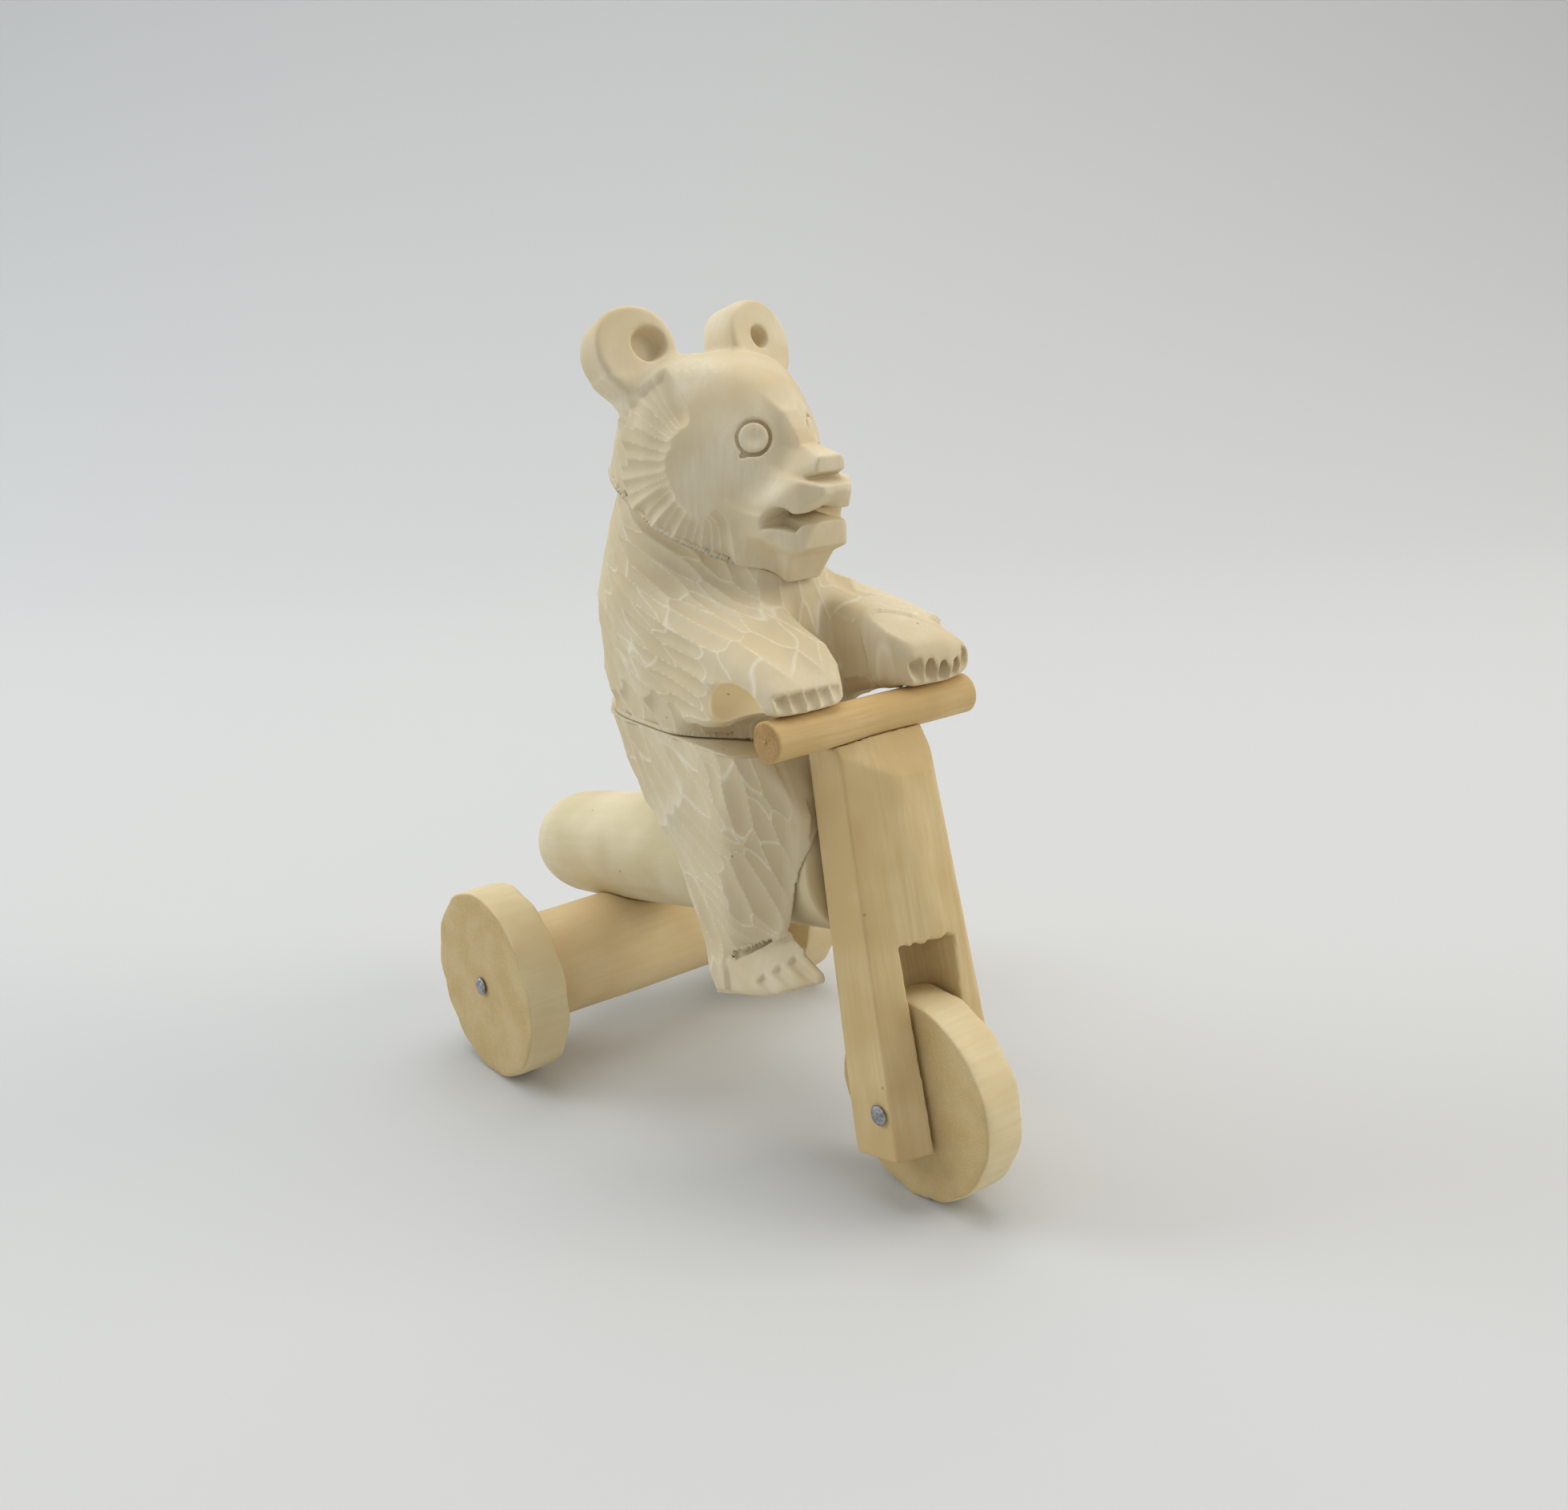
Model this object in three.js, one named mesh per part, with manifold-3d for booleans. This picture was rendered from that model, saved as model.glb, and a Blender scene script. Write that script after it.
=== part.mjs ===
// A carved wooden bear riding a wooden tricycle, about 163 mm tall.
// Millimetres, +Z up, the tricycle travels towards -Y, the bear's right hand is at -X.
// Origin: on the floor, under the middle of the toy's bounding box.
import * as THREE from 'three';
import * as BufferGeometryUtils from 'three/addons/utils/BufferGeometryUtils.js';
import Module from 'manifold-3d';

const wasm = await Module();
wasm.setup();

// ---------------------------------------------------------------- driving dimensions
const GAP = 0.3; // glued or touching faces stay this far apart
const RAKE = THREE.MathUtils.degToRad(12.4); // fork leans back, and the log rises forward, by this
const ROUND = 48; // facets round a wheel, a log or a beam

const FRONT_WHEEL = { radius: 20, width: 9.3, axleY: -55 };
const REAR_WHEEL = { radius: 21, width: 9.8, axleY: 41.5, outerX: 42.2 };
const WHEEL_CHAMFER = 0.6;
const RUNNING_FIT = 0.08; // radial play of a wheel on its nail

const NAIL = { radius: 1, headRadius: 2, headHeight: 0.8, rearLength: 29 };
const NAIL_HOLE = NAIL.radius + 0.15; // the nails sit tight in the wood

const FORK = {
  foot: -9, head: 70.2, // below and above the axle, along the fork
  halfWidthFoot: 12.6, halfWidthHead: 9.8,
  front: { foot: 5.5, belly: 7.6, head: 5 }, // from the axle line forward
  back: { foot: 8.7, belly: 10.2, head: 8 }, // from the axle line backward
  belly: 32, // where the fork is thickest
  slotHalf: 5.5, slotTop: 30, chamfer: 1.3,
  broadFrom: { foot: -3, head: -2 }, broadTo: -2, // the broad chamfer's edges on the side and on the front
};
const HANDLEBAR = { radius: 3.8, halfLength: 23.8, along: 71.7 };

const LOG = { radius: 12.3, tipY: 76.6, tipZ: 35, roundLength: 13 }; // the tail end rounds over 13 mm
const BEAM = { radius: 12 };

const WAIST_Z = 84; // glue line between the legs and the torso
const NECK = { z: 123.3, slope: 0.5 }; // glue line under the head: height over Y = 0, rise per mm
const PEG = { radius: 3, reach: 7 };
const HOLE_PLAY = 0.15; // radial room round a peg or a nail that sits still in the wood
const BEAM_NAIL = { length: 28, sunk: 2 };
const EAR = {
  x: 14, y: 12, z: 153.5, radius: 8.6, half: 4.5, chamfer: 1.5, turn: 0.15, nod: -0.35, facets: 24,
};
const EAR_HOLE = { radius: 3.4, depth: 3.6, inward: 2, up: -0.4 };
const EYE = { x: 8, y: -18.6, z: 139.4, outer: 3.4, inner: 2.8, depth: 2.2, turn: 0.65 };
const CENTRE_Y = -1.35; // brings the middle of the toy's length over the origin

// Reach of a cutting tool past the wood, so that it always cuts clean through.
const THROUGH = 60;
const ROD_FACETS = 24;

const WOOD_ROUGHNESS = 0.75;

// ---------------------------------------------------------------- materials
function wood(color) {
  return new THREE.MeshStandardMaterial({ color, roughness: WOOD_ROUGHNESS, metalness: 0 });
}
const carvedLinden = wood(0xded2b0);
const planedLinden = wood(0xd2bf94);
const wheelLinden = wood(0xcdb98c);
const dowelWood = wood(0xc9a265);
const steel = new THREE.MeshStandardMaterial({ color: 0x85858a, roughness: 0.4, metalness: 0.9 });

// ---------------------------------------------------------------- solids and geometry
function toSolid(geometry) {
  const bare = geometry.clone();
  bare.deleteAttribute('normal');
  bare.deleteAttribute('uv');
  const merged = BufferGeometryUtils.mergeVertices(bare, 1e-4);
  return new wasm.Manifold(new wasm.Mesh({
    numProp: 3,
    vertProperties: new Float32Array(merged.attributes.position.array),
    triVerts: new Uint32Array(merged.index.array),
  }));
}

function toMesh(name, solid, material) {
  const data = solid.getMesh();
  const geometry = new THREE.BufferGeometry();
  geometry.setAttribute('position', new THREE.BufferAttribute(new Float32Array(data.vertProperties), 3));
  geometry.setIndex(new THREE.BufferAttribute(new Uint32Array(data.triVerts), 1));
  geometry.computeVertexNormals();
  const mesh = new THREE.Mesh(geometry, material);
  mesh.name = name;
  return mesh;
}

// A closed outline; a nested list of points is a smooth curve through them.
function outline(parts) {
  const shape = new THREE.Shape();
  shape.moveTo(...parts[0]);
  for (const part of parts.slice(1)) {
    if (Array.isArray(part[0])) {
      shape.splineThru(part.map(([u, v]) => new THREE.Vector2(u, v)));
    } else {
      shape.lineTo(...part);
    }
  }
  return shape;
}

const ALONG_X = new THREE.Matrix4().makeBasis(
  new THREE.Vector3(0, 1, 0), new THREE.Vector3(0, 0, 1), new THREE.Vector3(1, 0, 0));
const ALONG_Y = new THREE.Matrix4().makeBasis(
  new THREE.Vector3(1, 0, 0), new THREE.Vector3(0, 0, 1), new THREE.Vector3(0, -1, 0));

function extrude(shape, low, high) {
  const geometry = new THREE.ExtrudeGeometry(shape, {
    depth: high - low, bevelEnabled: false, curveSegments: 5, steps: 1,
  });
  return geometry.translate(0, 0, low);
}

// Saw cuts: an outline seen from the side (y, z), from the front (x, z) or from above (x, y).
function sideCut(parts, low, high) {
  return toSolid(extrude(outline(parts), low, high).applyMatrix4(ALONG_X));
}
function frontCut(parts, nearY, farY) {
  return toSolid(extrude(outline(parts), -farY, -nearY).applyMatrix4(ALONG_Y));
}
function topCut(parts, low, high) {
  return toSolid(extrude(outline(parts), low, high));
}

function mirrored(points) {
  return points.concat(points.map(([x, other]) => [-x, other]).reverse());
}

// A turned piece about +Z. A facet, not a corner, faces -Y, so that a wheel stands on a flat.
function turned(profile, segments) {
  const geometry = new THREE.LatheGeometry(profile.map(([r, h]) => new THREE.Vector2(r, h)), segments);
  return geometry.rotateX(Math.PI / 2).rotateZ(Math.PI / segments);
}

const TO_X = new THREE.Matrix4().makeRotationY(Math.PI / 2);

// One knife cut: a slab whose face passes through three points, on the side away from kept.
function knife([a, b, c], kept) {
  const [pa, pb, pc] = [a, b, c].map((p) => new THREE.Vector3(...p));
  const u = pb.sub(pa).normalize();
  const out = u.clone().cross(pc.sub(pa)).normalize();
  if (out.dot(new THREE.Vector3(...kept).sub(pa)) > 0) out.negate();
  const size = 3 * THROUGH;
  const place = new THREE.Matrix4().makeBasis(u, out.clone().cross(u), out)
    .setPosition(pa.clone().addScaledVector(out, size / 2));
  return toSolid(new THREE.BoxGeometry(size, size, size).applyMatrix4(place));
}

function ball(radii, centre) {
  const geometry = new THREE.SphereGeometry(1, 24, 16).rotateX(Math.PI / 2);
  return toSolid(geometry.scale(...radii).translate(...centre));
}

function rodX(radius, low, high, y, z, segments = ROD_FACETS) {
  const profile = [[0, low], [radius, low], [radius, high], [0, high]];
  return toSolid(turned(profile, segments).applyMatrix4(TO_X).translate(0, y, z));
}

// ---------------------------------------------------------------- wheels and nails
function axleHeight(radius) {
  return radius * Math.cos(Math.PI / ROUND);
}
const frontAxleZ = axleHeight(FRONT_WHEEL.radius);
const rearAxleZ = axleHeight(REAR_WHEEL.radius);

function wheel(name, size, middleX, y, z) {
  const bore = NAIL.radius + RUNNING_FIT;
  const half = size.width / 2;
  const rim = size.radius - WHEEL_CHAMFER;
  const profile = [
    [bore, -half], [rim, -half], [size.radius, WHEEL_CHAMFER - half],
    [size.radius, half - WHEEL_CHAMFER], [rim, half], [bore, half], [bore, -half],
  ];
  const geometry = turned(profile, ROUND).applyMatrix4(TO_X).translate(middleX, y, z);
  return toMesh(name, toSolid(geometry), wheelLinden);
}

// A round-headed wire nail along X, its head at headX and its point towards the middle.
function axleNail(name, headX, length, y, z) {
  const inward = -Math.sign(headX);
  const under = headX + inward * NAIL.headHeight;
  const tip = under + inward * length;
  const head = rodX(NAIL.headRadius, Math.min(headX, under), Math.max(headX, under), y, z);
  const start = headX + inward * GAP;
  const shank = rodX(NAIL.radius, Math.min(start, tip), Math.max(start, tip), y, z);
  return toMesh(name, head.add(shank), steel);
}

// ---------------------------------------------------------------- tricycle frame
// Raked frame: its origin is the front axle, +Z runs up the fork and -Y faces forward.
const RAKED = new THREE.Matrix4().makeRotationX(-RAKE).setPosition(0, FRONT_WHEEL.axleY, frontAxleZ);

function intoRake(solid) {
  return solid.transform(RAKED.elements.slice());
}

// The fork's blank, grown by a margin, still without its slot.
function forkBlank(margin) {
  const { foot, head, belly, chamfer } = FORK;
  const side = sideCut([
    [-FORK.front.foot - margin, foot - margin],
    [-FORK.front.belly - margin, belly],
    [-FORK.front.head - margin, head + margin],
    [FORK.back.head + margin, head + margin],
    [FORK.back.belly + margin, belly],
    [FORK.back.foot + margin, foot - margin],
  ], -THROUGH, THROUGH);
  const face = frontCut([
    [-FORK.halfWidthFoot - margin, foot - margin], [FORK.halfWidthFoot + margin, foot - margin],
    [FORK.halfWidthHead + margin, head + margin], [-FORK.halfWidthHead - margin, head + margin],
  ], -THROUGH, THROUGH);
  // The rider's right front corner is planed off broadly, the other three only slightly.
  const [w0, w1] = [FORK.halfWidthFoot + margin, FORK.halfWidthHead + margin];
  const heart = [0, 0, (foot + head) / 2];
  const broad = knife([
    [-w1, FORK.broadFrom.head - margin, head], [-w0, FORK.broadFrom.foot - margin, foot],
    [FORK.broadTo, -FORK.front.head - margin, head],
  ], heart);
  const corners = [[1, -1, FORK.front.head], [1, 1, FORK.back.head], [-1, 1, FORK.back.head]];
  return corners.reduce((solid, [sx, sy, depth]) => {
    const edge = depth + margin;
    const top = [[sx * w1, sy * (edge - chamfer), head], [sx * (w1 - chamfer), sy * edge, head]];
    const low = [sx * w0, sy * edge, foot];
    return solid.subtract(knife([...top, low], heart));
  }, side.intersect(face).subtract(broad));
}

const handlebarRod = (radius, half) => rodX(radius, -half, half, 0, HANDLEBAR.along);

function fork() {
  const slot = sideCut([
    [-THROUGH, -THROUGH], [THROUGH, -THROUGH], [THROUGH, FORK.slotTop], [-THROUGH, FORK.slotTop],
  ], -FORK.slotHalf, FORK.slotHalf);
  const nailHole = rodX(NAIL_HOLE, -THROUGH, THROUGH, 0, 0);
  const blank = forkBlank(0).subtract(slot).subtract(handlebarRod(HANDLEBAR.radius + GAP, THROUGH));
  return intoRake(blank).subtract(intoRake(nailHole)).subtract(pegHole(forkPeg));
}

// The log's axis: perpendicular to the fork, from behind its back face down to the tail.
const logDirection = new THREE.Vector3(0, -Math.cos(RAKE), Math.sin(RAKE));
const logTail = new THREE.Vector3(0, LOG.tipY, LOG.tipZ);
const forkBackGap = FORK.back.belly + GAP;
const logLength = logDirection.dot(
  new THREE.Vector3(0, FRONT_WHEEL.axleY, frontAxleZ).sub(logTail)) - forkBackGap;
const ALONG_LOG = new THREE.Matrix4().makeRotationX(Math.PI / 2 - RAKE)
  .setPosition(logTail);

function turnedAlongLog(profile) {
  return toSolid(turned(profile, ROUND).applyMatrix4(ALONG_LOG));
}
function alongLog(radius, low, high) {
  return turnedAlongLog([[0, low], [radius, low], [radius, high], [0, high]]);
}

// ---------------------------------------------------------------- hidden pegs and nail
// Each hidden fixing is a short rod along a direction through a point on the glue line.
const forkPeg = { at: logTail.clone().addScaledVector(logDirection, logLength), along: logDirection };
const waistPeg = { at: new THREE.Vector3(0, 2, WAIST_Z), along: new THREE.Vector3(0, 0, 1) };
const neckPeg = {
  at: new THREE.Vector3(0, 0, NECK.z),
  along: new THREE.Vector3(0, -NECK.slope, 1).normalize(),
};

function rodAlong(peg, radius, back, forward) {
  const turn = new THREE.Quaternion().setFromUnitVectors(new THREE.Vector3(0, 0, 1), peg.along);
  const place = new THREE.Matrix4().makeRotationFromQuaternion(turn).setPosition(peg.at);
  const profile = [[0, -back], [radius, -back], [radius, forward], [0, forward]];
  return toSolid(turned(profile, 16).applyMatrix4(place));
}
function pegHole(peg) {
  return rodAlong(peg, PEG.radius + HOLE_PLAY, PEG.reach + GAP, PEG.reach + GAP);
}
function pegMesh(name, peg) {
  return toMesh(name, rodAlong(peg, PEG.radius, PEG.reach, PEG.reach), dowelWood);
}

// The nail that holds the log to the beam comes up from below, its head sunk in the beam.
const beamNail = {
  at: new THREE.Vector3(0, REAR_WHEEL.axleY, rearAxleZ - BEAM.radius + BEAM_NAIL.sunk),
  along: new THREE.Vector3(0, 0, 1),
};

function beamNailMesh() {
  const shank = rodAlong(beamNail, NAIL.radius, 0, BEAM_NAIL.length);
  const head = rodAlong(beamNail, NAIL.headRadius, NAIL.headHeight, 0);
  return toMesh('beam_nail', shank.add(head), steel);
}
function beamNailHole() {
  const shank = rodAlong(beamNail, NAIL_HOLE, NAIL.headHeight, BEAM_NAIL.length + GAP);
  return shank.add(rodAlong(beamNail, NAIL.headRadius + HOLE_PLAY, BEAM.radius / 2, HOLE_PLAY));
}

function frameLog() {
  const { radius, roundLength: cap } = LOG;
  const log = turnedAlongLog([
    [0, 0], [radius * 0.42, 0], [radius * 0.74, cap * 0.22], [radius * 0.93, cap * 0.6],
    [radius, cap], [radius, logLength], [0, logLength],
  ]);
  return log.subtract(beamNailHole()).subtract(pegHole(forkPeg));
}

function rearAxleBeam() {
  const end = REAR_WHEEL.outerX - REAR_WHEEL.width - GAP;
  const beam = rodX(BEAM.radius, -end, end, REAR_WHEEL.axleY, rearAxleZ, ROUND);
  const nailTip = REAR_WHEEL.outerX - NAIL.rearLength;
  const rightHole = rodX(NAIL_HOLE, -THROUGH, -nailTip, REAR_WHEEL.axleY, rearAxleZ);
  const leftHole = rodX(NAIL_HOLE, nailTip, THROUGH, REAR_WHEEL.axleY, rearAxleZ);
  return beam.subtract(alongLog(LOG.radius + GAP, -THROUGH, logLength))
    .subtract(rightHole).subtract(leftHole).subtract(beamNailHole());
}

// ---------------------------------------------------------------- bear
// Each block of the bear is the common part of saw cuts from the side and the front, with corners cut off.
function lowerBody() {
  const top = WAIST_Z - GAP / 2;
  const side = sideCut([
    [28, top], [[20, 77], [12, 71], [2, 65.5], [-5, 59]], [-8.6, 49], [-14.5, 32.2], [-33.4, 38],
    [-40.8, 41.5], [-40.6, 44.9], [-34.4, 48.1], [-30.7, 49.2],
    [[-33.2, 57], [-35.1, 63], [-35.6, 72]], [-29, top],
  ], -THROUGH, THROUGH);
  const front = frontCut(mirrored([[-21.5, 86], [-22, 72], [-20.6, 45], [-20, 28]]), -THROUGH, THROUGH);
  const inner = LOG.radius + GAP;
  // The legs stay apart below the log's axis.
  const aboveAxis = alongLog(THROUGH, -THROUGH, logLength + THROUGH).translate(0, 0, THROUGH);
  const between = frontCut(mirrored([[-inner, WAIST_Z], [-inner, 0]]), -THROUGH, THROUGH).subtract(aboveAxis);
  const rounded = [-1, 1].reduce((solid, sx) => {
    const corners = [
      [[sx * 13, 28, 84], [sx * 22, 14.5, 84], [sx * 20.6, -14.5, 32]],
      [[sx * 22, -18, 84], [sx * 12, -31, 84], [sx * 22, -24, 60]],
      [[sx * 21, -30, 44], [sx * 14, -40, 44], [sx * 21, -30, 30]],
    ];
    return corners.reduce((part, points) => part.subtract(knife(points, [sx * 14, -12, 60])), solid);
  }, side.intersect(front));
  return rounded.subtract(between).subtract(alongLog(inner, -THROUGH, logLength + THROUGH))
    .subtract(intoRake(forkBlank(GAP))).subtract(pegHole(waistPeg));
}

// Everything above (sign 1) or below (sign -1) the glue line under the head.
function neckCut(sign) {
  const edge = (y) => NECK.z + NECK.slope * y - sign * GAP / 2;
  const beyond = (y) => edge(y) + sign * THROUGH;
  return sideCut([
    [-THROUGH, edge(-THROUGH)], [THROUGH, edge(THROUGH)],
    [THROUGH, beyond(THROUGH)], [-THROUGH, beyond(-THROUGH)],
  ], -THROUGH, THROUGH);
}

// The right paw (side -1) reaches a little less high and less far than the left one.
function arm(side) {
  const knuckles = side < 0
    ? [[-27, 106.6], [-34, 104.2], [-39.5, 100.4], [-42.4, 96.8]]
    : [[-28, 107.5], [-37, 105.6], [-41.5, 102.6], [-43.8, 98.4]];
  const reach = sideCut([
    [4, 114], [[-10, 111.6], [-20, 109.2], ...knuckles], [-42, 94.8], [-36, 93.8],
    [[-28, 91.5], [-20, 88], [-10, 86]],
  ], -THROUGH, THROUGH);
  const plan = topCut([
    [side * 5, 10], [side * 21.5, 10], [side * 22.4, -10], [side * 24.2, -30],
    [side * 23.2, -41.5], [side * 17, -44.6], [side * 8, -43.2], [side * 6, -38],
  ], 0, 3 * THROUGH);
  const slopes = knife([[side * 12, 4, 115], [side * 24, 4, 109.5], [side * 12, -40, 106.2]], [0, 0, 90]);
  return reach.intersect(plan).subtract(slopes);
}

function torso() {
  const trunk = sideCut([
    [40, WAIST_Z + GAP / 2], [40, 140], [-12, 124], [-18, 116],
    [[-22, 108], [-24, 100], [-25, 90]], [-24.5, WAIST_Z + GAP / 2],
  ], -THROUGH, THROUGH);
  const front = frontCut(
    mirrored([[-18, 136], [-20, 124], [-22, 112], [-22, 95], [-21.5, 80]]), -THROUGH, THROUGH);
  const barrel = ball([24.8, 29.8, 56], [0, 2, 92]);
  const heart = [0, 0, 100];
  // Flat cuts part the chest from the arms and taper the back towards the waist.
  const cuts = [-1, 1].flatMap((side) => [
    knife([[side * 21, 0, 112], [side * 5, -20.4, 112], [side * 12.2, -22, 84]], heart),
    knife([[side * 13, 27.3, 84], [side * 22, 13.8, 84], [side * 14.6, 28.4, 94]], heart),
  ]);
  const trimmed = cuts.reduce((part, cut) => part.subtract(cut), trunk.intersect(front).intersect(barrel));
  return trimmed.add(arm(-1)).add(arm(1)).subtract(neckCut(1))
    .subtract(intoRake(handlebarRod(HANDLEBAR.radius + GAP, THROUGH)))
    .subtract(intoRake(forkBlank(GAP)))
    .subtract(pegHole(waistPeg)).subtract(pegHole(neckPeg));
}

// Each ear is a thick disc turned outwards and tilted to face a little upwards.
function earPlace(side) {
  const turn = new THREE.Euler(EAR.nod, 0, side * EAR.turn, 'ZXY');
  return new THREE.Matrix4().makeRotationFromEuler(turn).setPosition(side * EAR.x, EAR.y, EAR.z);
}
function earDisc(side) {
  const { radius, half, chamfer } = EAR;
  const profile = [
    [0, -half], [radius - chamfer, -half], [radius, chamfer - half],
    [radius, half - chamfer], [radius - chamfer, half], [0, half],
  ];
  const disc = turned(profile, EAR.facets).rotateX(Math.PI / 2);
  return toSolid(disc.applyMatrix4(earPlace(side)));
}
function earHole(side) {
  const { radius, depth, inward, up } = EAR_HOLE;
  const profile = [[0, 0], [radius, 0], [radius, THROUGH], [0, THROUGH]];
  const drill = turned(profile, EAR.facets).rotateX(Math.PI / 2)
    .translate(-side * inward, depth - EAR.half, up);
  return toSolid(drill.applyMatrix4(earPlace(side)));
}
function eyeGroove(side) {
  const { outer, inner, depth, turn, x, y, z } = EYE;
  const profile = [[inner, -depth], [outer, -depth], [outer, depth], [inner, depth], [inner, -depth]];
  const ring = turned(profile, EAR.facets).rotateX(Math.PI / 2);
  return toSolid(ring.rotateZ(side * turn).translate(side * x, y, z));
}

function head() {
  const front = frontCut(
    mirrored([[-15, 158], [-20, 148], [-21, 136], [-20.5, 122], [-18, 106]]), -THROUGH, THROUGH);
  const skull = ball([23, 22.8, 25.3], [0, 1.8, 131]).add(ball([19.5, 17, 17], [0, -3.5, 120]))
    .intersect(front);
  // Flat cuts: the crown, and on either side the cheek, the brow and the forehead.
  const heart = [0, 0, 130];
  const cuts = [knife([[0, 2, 153.6], [10, 2, 153.6], [0, -8, 152]], heart)];
  for (const side of [-1, 1]) {
    cuts.push(
      knife([[side * 9, -17.6, 138], [side * 21, -2.6, 138], [side * 9.6, -18.2, 116]], heart),
      knife([[side * 9, -17.2, 137], [side * 21, -2.2, 137], [side * 9, -12.8, 145.2]], heart),
      knife([[side * 9, -13.2, 144.2], [side * 21, 1.8, 144.2], [side * 9, -7.2, 149.6]], heart),
    );
  }
  const trimmed = cuts.reduce((part, cut) => part.subtract(cut), skull);
  const whole = trimmed.add(nose()).add(upperJaw()).add(lowerJaw())
    .add(earDisc(-1)).add(earDisc(1));
  return whole.subtract(earHole(-1)).subtract(earHole(1)).subtract(mouth())
    .subtract(eyeGroove(-1)).subtract(eyeGroove(1))
    .subtract(neckCut(-1)).subtract(pegHole(neckPeg));
}

// A block sawn from the side, from above and from the front.
function sawn(side, plan, face) {
  return sideCut(side, -THROUGH, THROUGH)
    .intersect(topCut(mirrored(plan), 0, 3 * THROUGH))
    .intersect(frontCut(mirrored(face), -THROUGH, THROUGH));
}
function nose() {
  return sawn(
    [[-12, 146], [-19.6, 143.4], [-22.4, 140.4], [-24.2, 137.9], [-30.6, 136.2], [-30.4, 133.5],
      [-26.8, 132], [-12, 130]],
    [[-9, -12], [-6.2, -20], [-4.6, -26], [-3.2, -30.8]],
    [[-1.8, 148], [-2.2, 137.2], [-4.4, 133.4], [-7, 130.5], [-9, 128]]);
}
function upperJaw() {
  return sawn(
    [[-10, 134.5], [-27.4, 132.3], [-32.1, 131.2], [-32.4, 129.8], [-28, 126.2], [-10, 124.5]],
    [[-13.5, -10], [-11, -17], [-8.8, -23], [-6.2, -28], [-2.9, -32.7]],
    [[-4, 136], [-6.4, 131.6], [-9.2, 127.6], [-11, 123]]);
}
function lowerJaw() {
  return sawn(
    [[-10, 127], [-26, 125.4], [-30, 124.6], [-28.6, 119.8], [-24.6, 117.8], [-22.4, 113.8],
      [-20.5, 109.5], [-8, 108]],
    [[-15, -8], [-12, -16], [-9.4, -22.5], [-6.2, -27], [-2.6, -30.8]],
    [[-11, 128], [-10, 121], [-6.6, 116.5], [-4.2, 112], [-3.2, 108]]);
}
function mouth() {
  return sideCut([[-40, 131], [-32.4, 129.4], [-28.2, 126.6], [-22, 126.2], [-22, 125.2], [-26, 124.9],
    [-30.8, 124.2], [-40, 123.8]], -THROUGH, THROUGH);
}

// ---------------------------------------------------------------- assembly
const model = new THREE.Group();
const toy = new THREE.Group();
toy.position.y = CENTRE_Y;
model.add(toy);

const rearMiddleX = REAR_WHEEL.outerX - REAR_WHEEL.width / 2;
const rearHeadX = REAR_WHEEL.outerX + GAP + NAIL.headHeight;
const frontHeadX = FORK.halfWidthFoot + NAIL.headHeight;

toy.add(
  toMesh('fork', fork(), planedLinden),
  toMesh('handlebar', intoRake(handlebarRod(HANDLEBAR.radius, HANDLEBAR.halfLength)), dowelWood),
  toMesh('frame_log', frameLog(), carvedLinden),
  toMesh('rear_axle_beam', rearAxleBeam(), planedLinden),
  wheel('front_wheel', FRONT_WHEEL, 0, FRONT_WHEEL.axleY, frontAxleZ),
  wheel('rear_wheel_right', REAR_WHEEL, -rearMiddleX, REAR_WHEEL.axleY, rearAxleZ),
  wheel('rear_wheel_left', REAR_WHEEL, rearMiddleX, REAR_WHEEL.axleY, rearAxleZ),
  axleNail('front_axle_nail', -frontHeadX, 2 * FORK.halfWidthFoot - 1, FRONT_WHEEL.axleY, frontAxleZ),
  axleNail('rear_axle_nail_right', -rearHeadX, NAIL.rearLength - 1, REAR_WHEEL.axleY, rearAxleZ),
  axleNail('rear_axle_nail_left', rearHeadX, NAIL.rearLength - 1, REAR_WHEEL.axleY, rearAxleZ),
  beamNailMesh(),
  toMesh('bear_lower_body', lowerBody(), carvedLinden),
  toMesh('bear_torso', torso(), carvedLinden),
  toMesh('bear_head', head(), carvedLinden),
  pegMesh('fork_dowel', forkPeg),
  pegMesh('waist_dowel', waistPeg),
  pegMesh('neck_dowel', neckPeg),
);

export default model;
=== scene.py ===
"""A carved wooden bear riding a wooden tricycle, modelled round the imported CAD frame.

Shapes are worked out in millimetres in toy coordinates: +Z up, the tricycle travels towards -Y,
and y = 0 lies WHEELBASE_FRONT mm behind the front axle. Meshes are written in metres in the CAD frame.
"""

import math

import bpy
import numpy as np
import openvdb
from mathutils import Matrix, Vector


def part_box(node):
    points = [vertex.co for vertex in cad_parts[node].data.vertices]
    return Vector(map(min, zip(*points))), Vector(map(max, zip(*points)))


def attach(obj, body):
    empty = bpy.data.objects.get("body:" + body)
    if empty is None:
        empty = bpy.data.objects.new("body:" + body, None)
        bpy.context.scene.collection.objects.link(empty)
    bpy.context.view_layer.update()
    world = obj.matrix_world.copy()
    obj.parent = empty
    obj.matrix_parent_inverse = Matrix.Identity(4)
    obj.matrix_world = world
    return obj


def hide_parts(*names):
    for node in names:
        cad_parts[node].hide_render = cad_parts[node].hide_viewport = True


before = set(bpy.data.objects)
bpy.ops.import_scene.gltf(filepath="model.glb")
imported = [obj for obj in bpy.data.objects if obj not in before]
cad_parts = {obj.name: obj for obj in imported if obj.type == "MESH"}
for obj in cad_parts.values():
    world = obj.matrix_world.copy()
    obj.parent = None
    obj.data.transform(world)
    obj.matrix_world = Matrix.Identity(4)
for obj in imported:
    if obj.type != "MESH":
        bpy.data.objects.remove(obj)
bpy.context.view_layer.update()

MM = 0.001
SEED = 20


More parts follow.
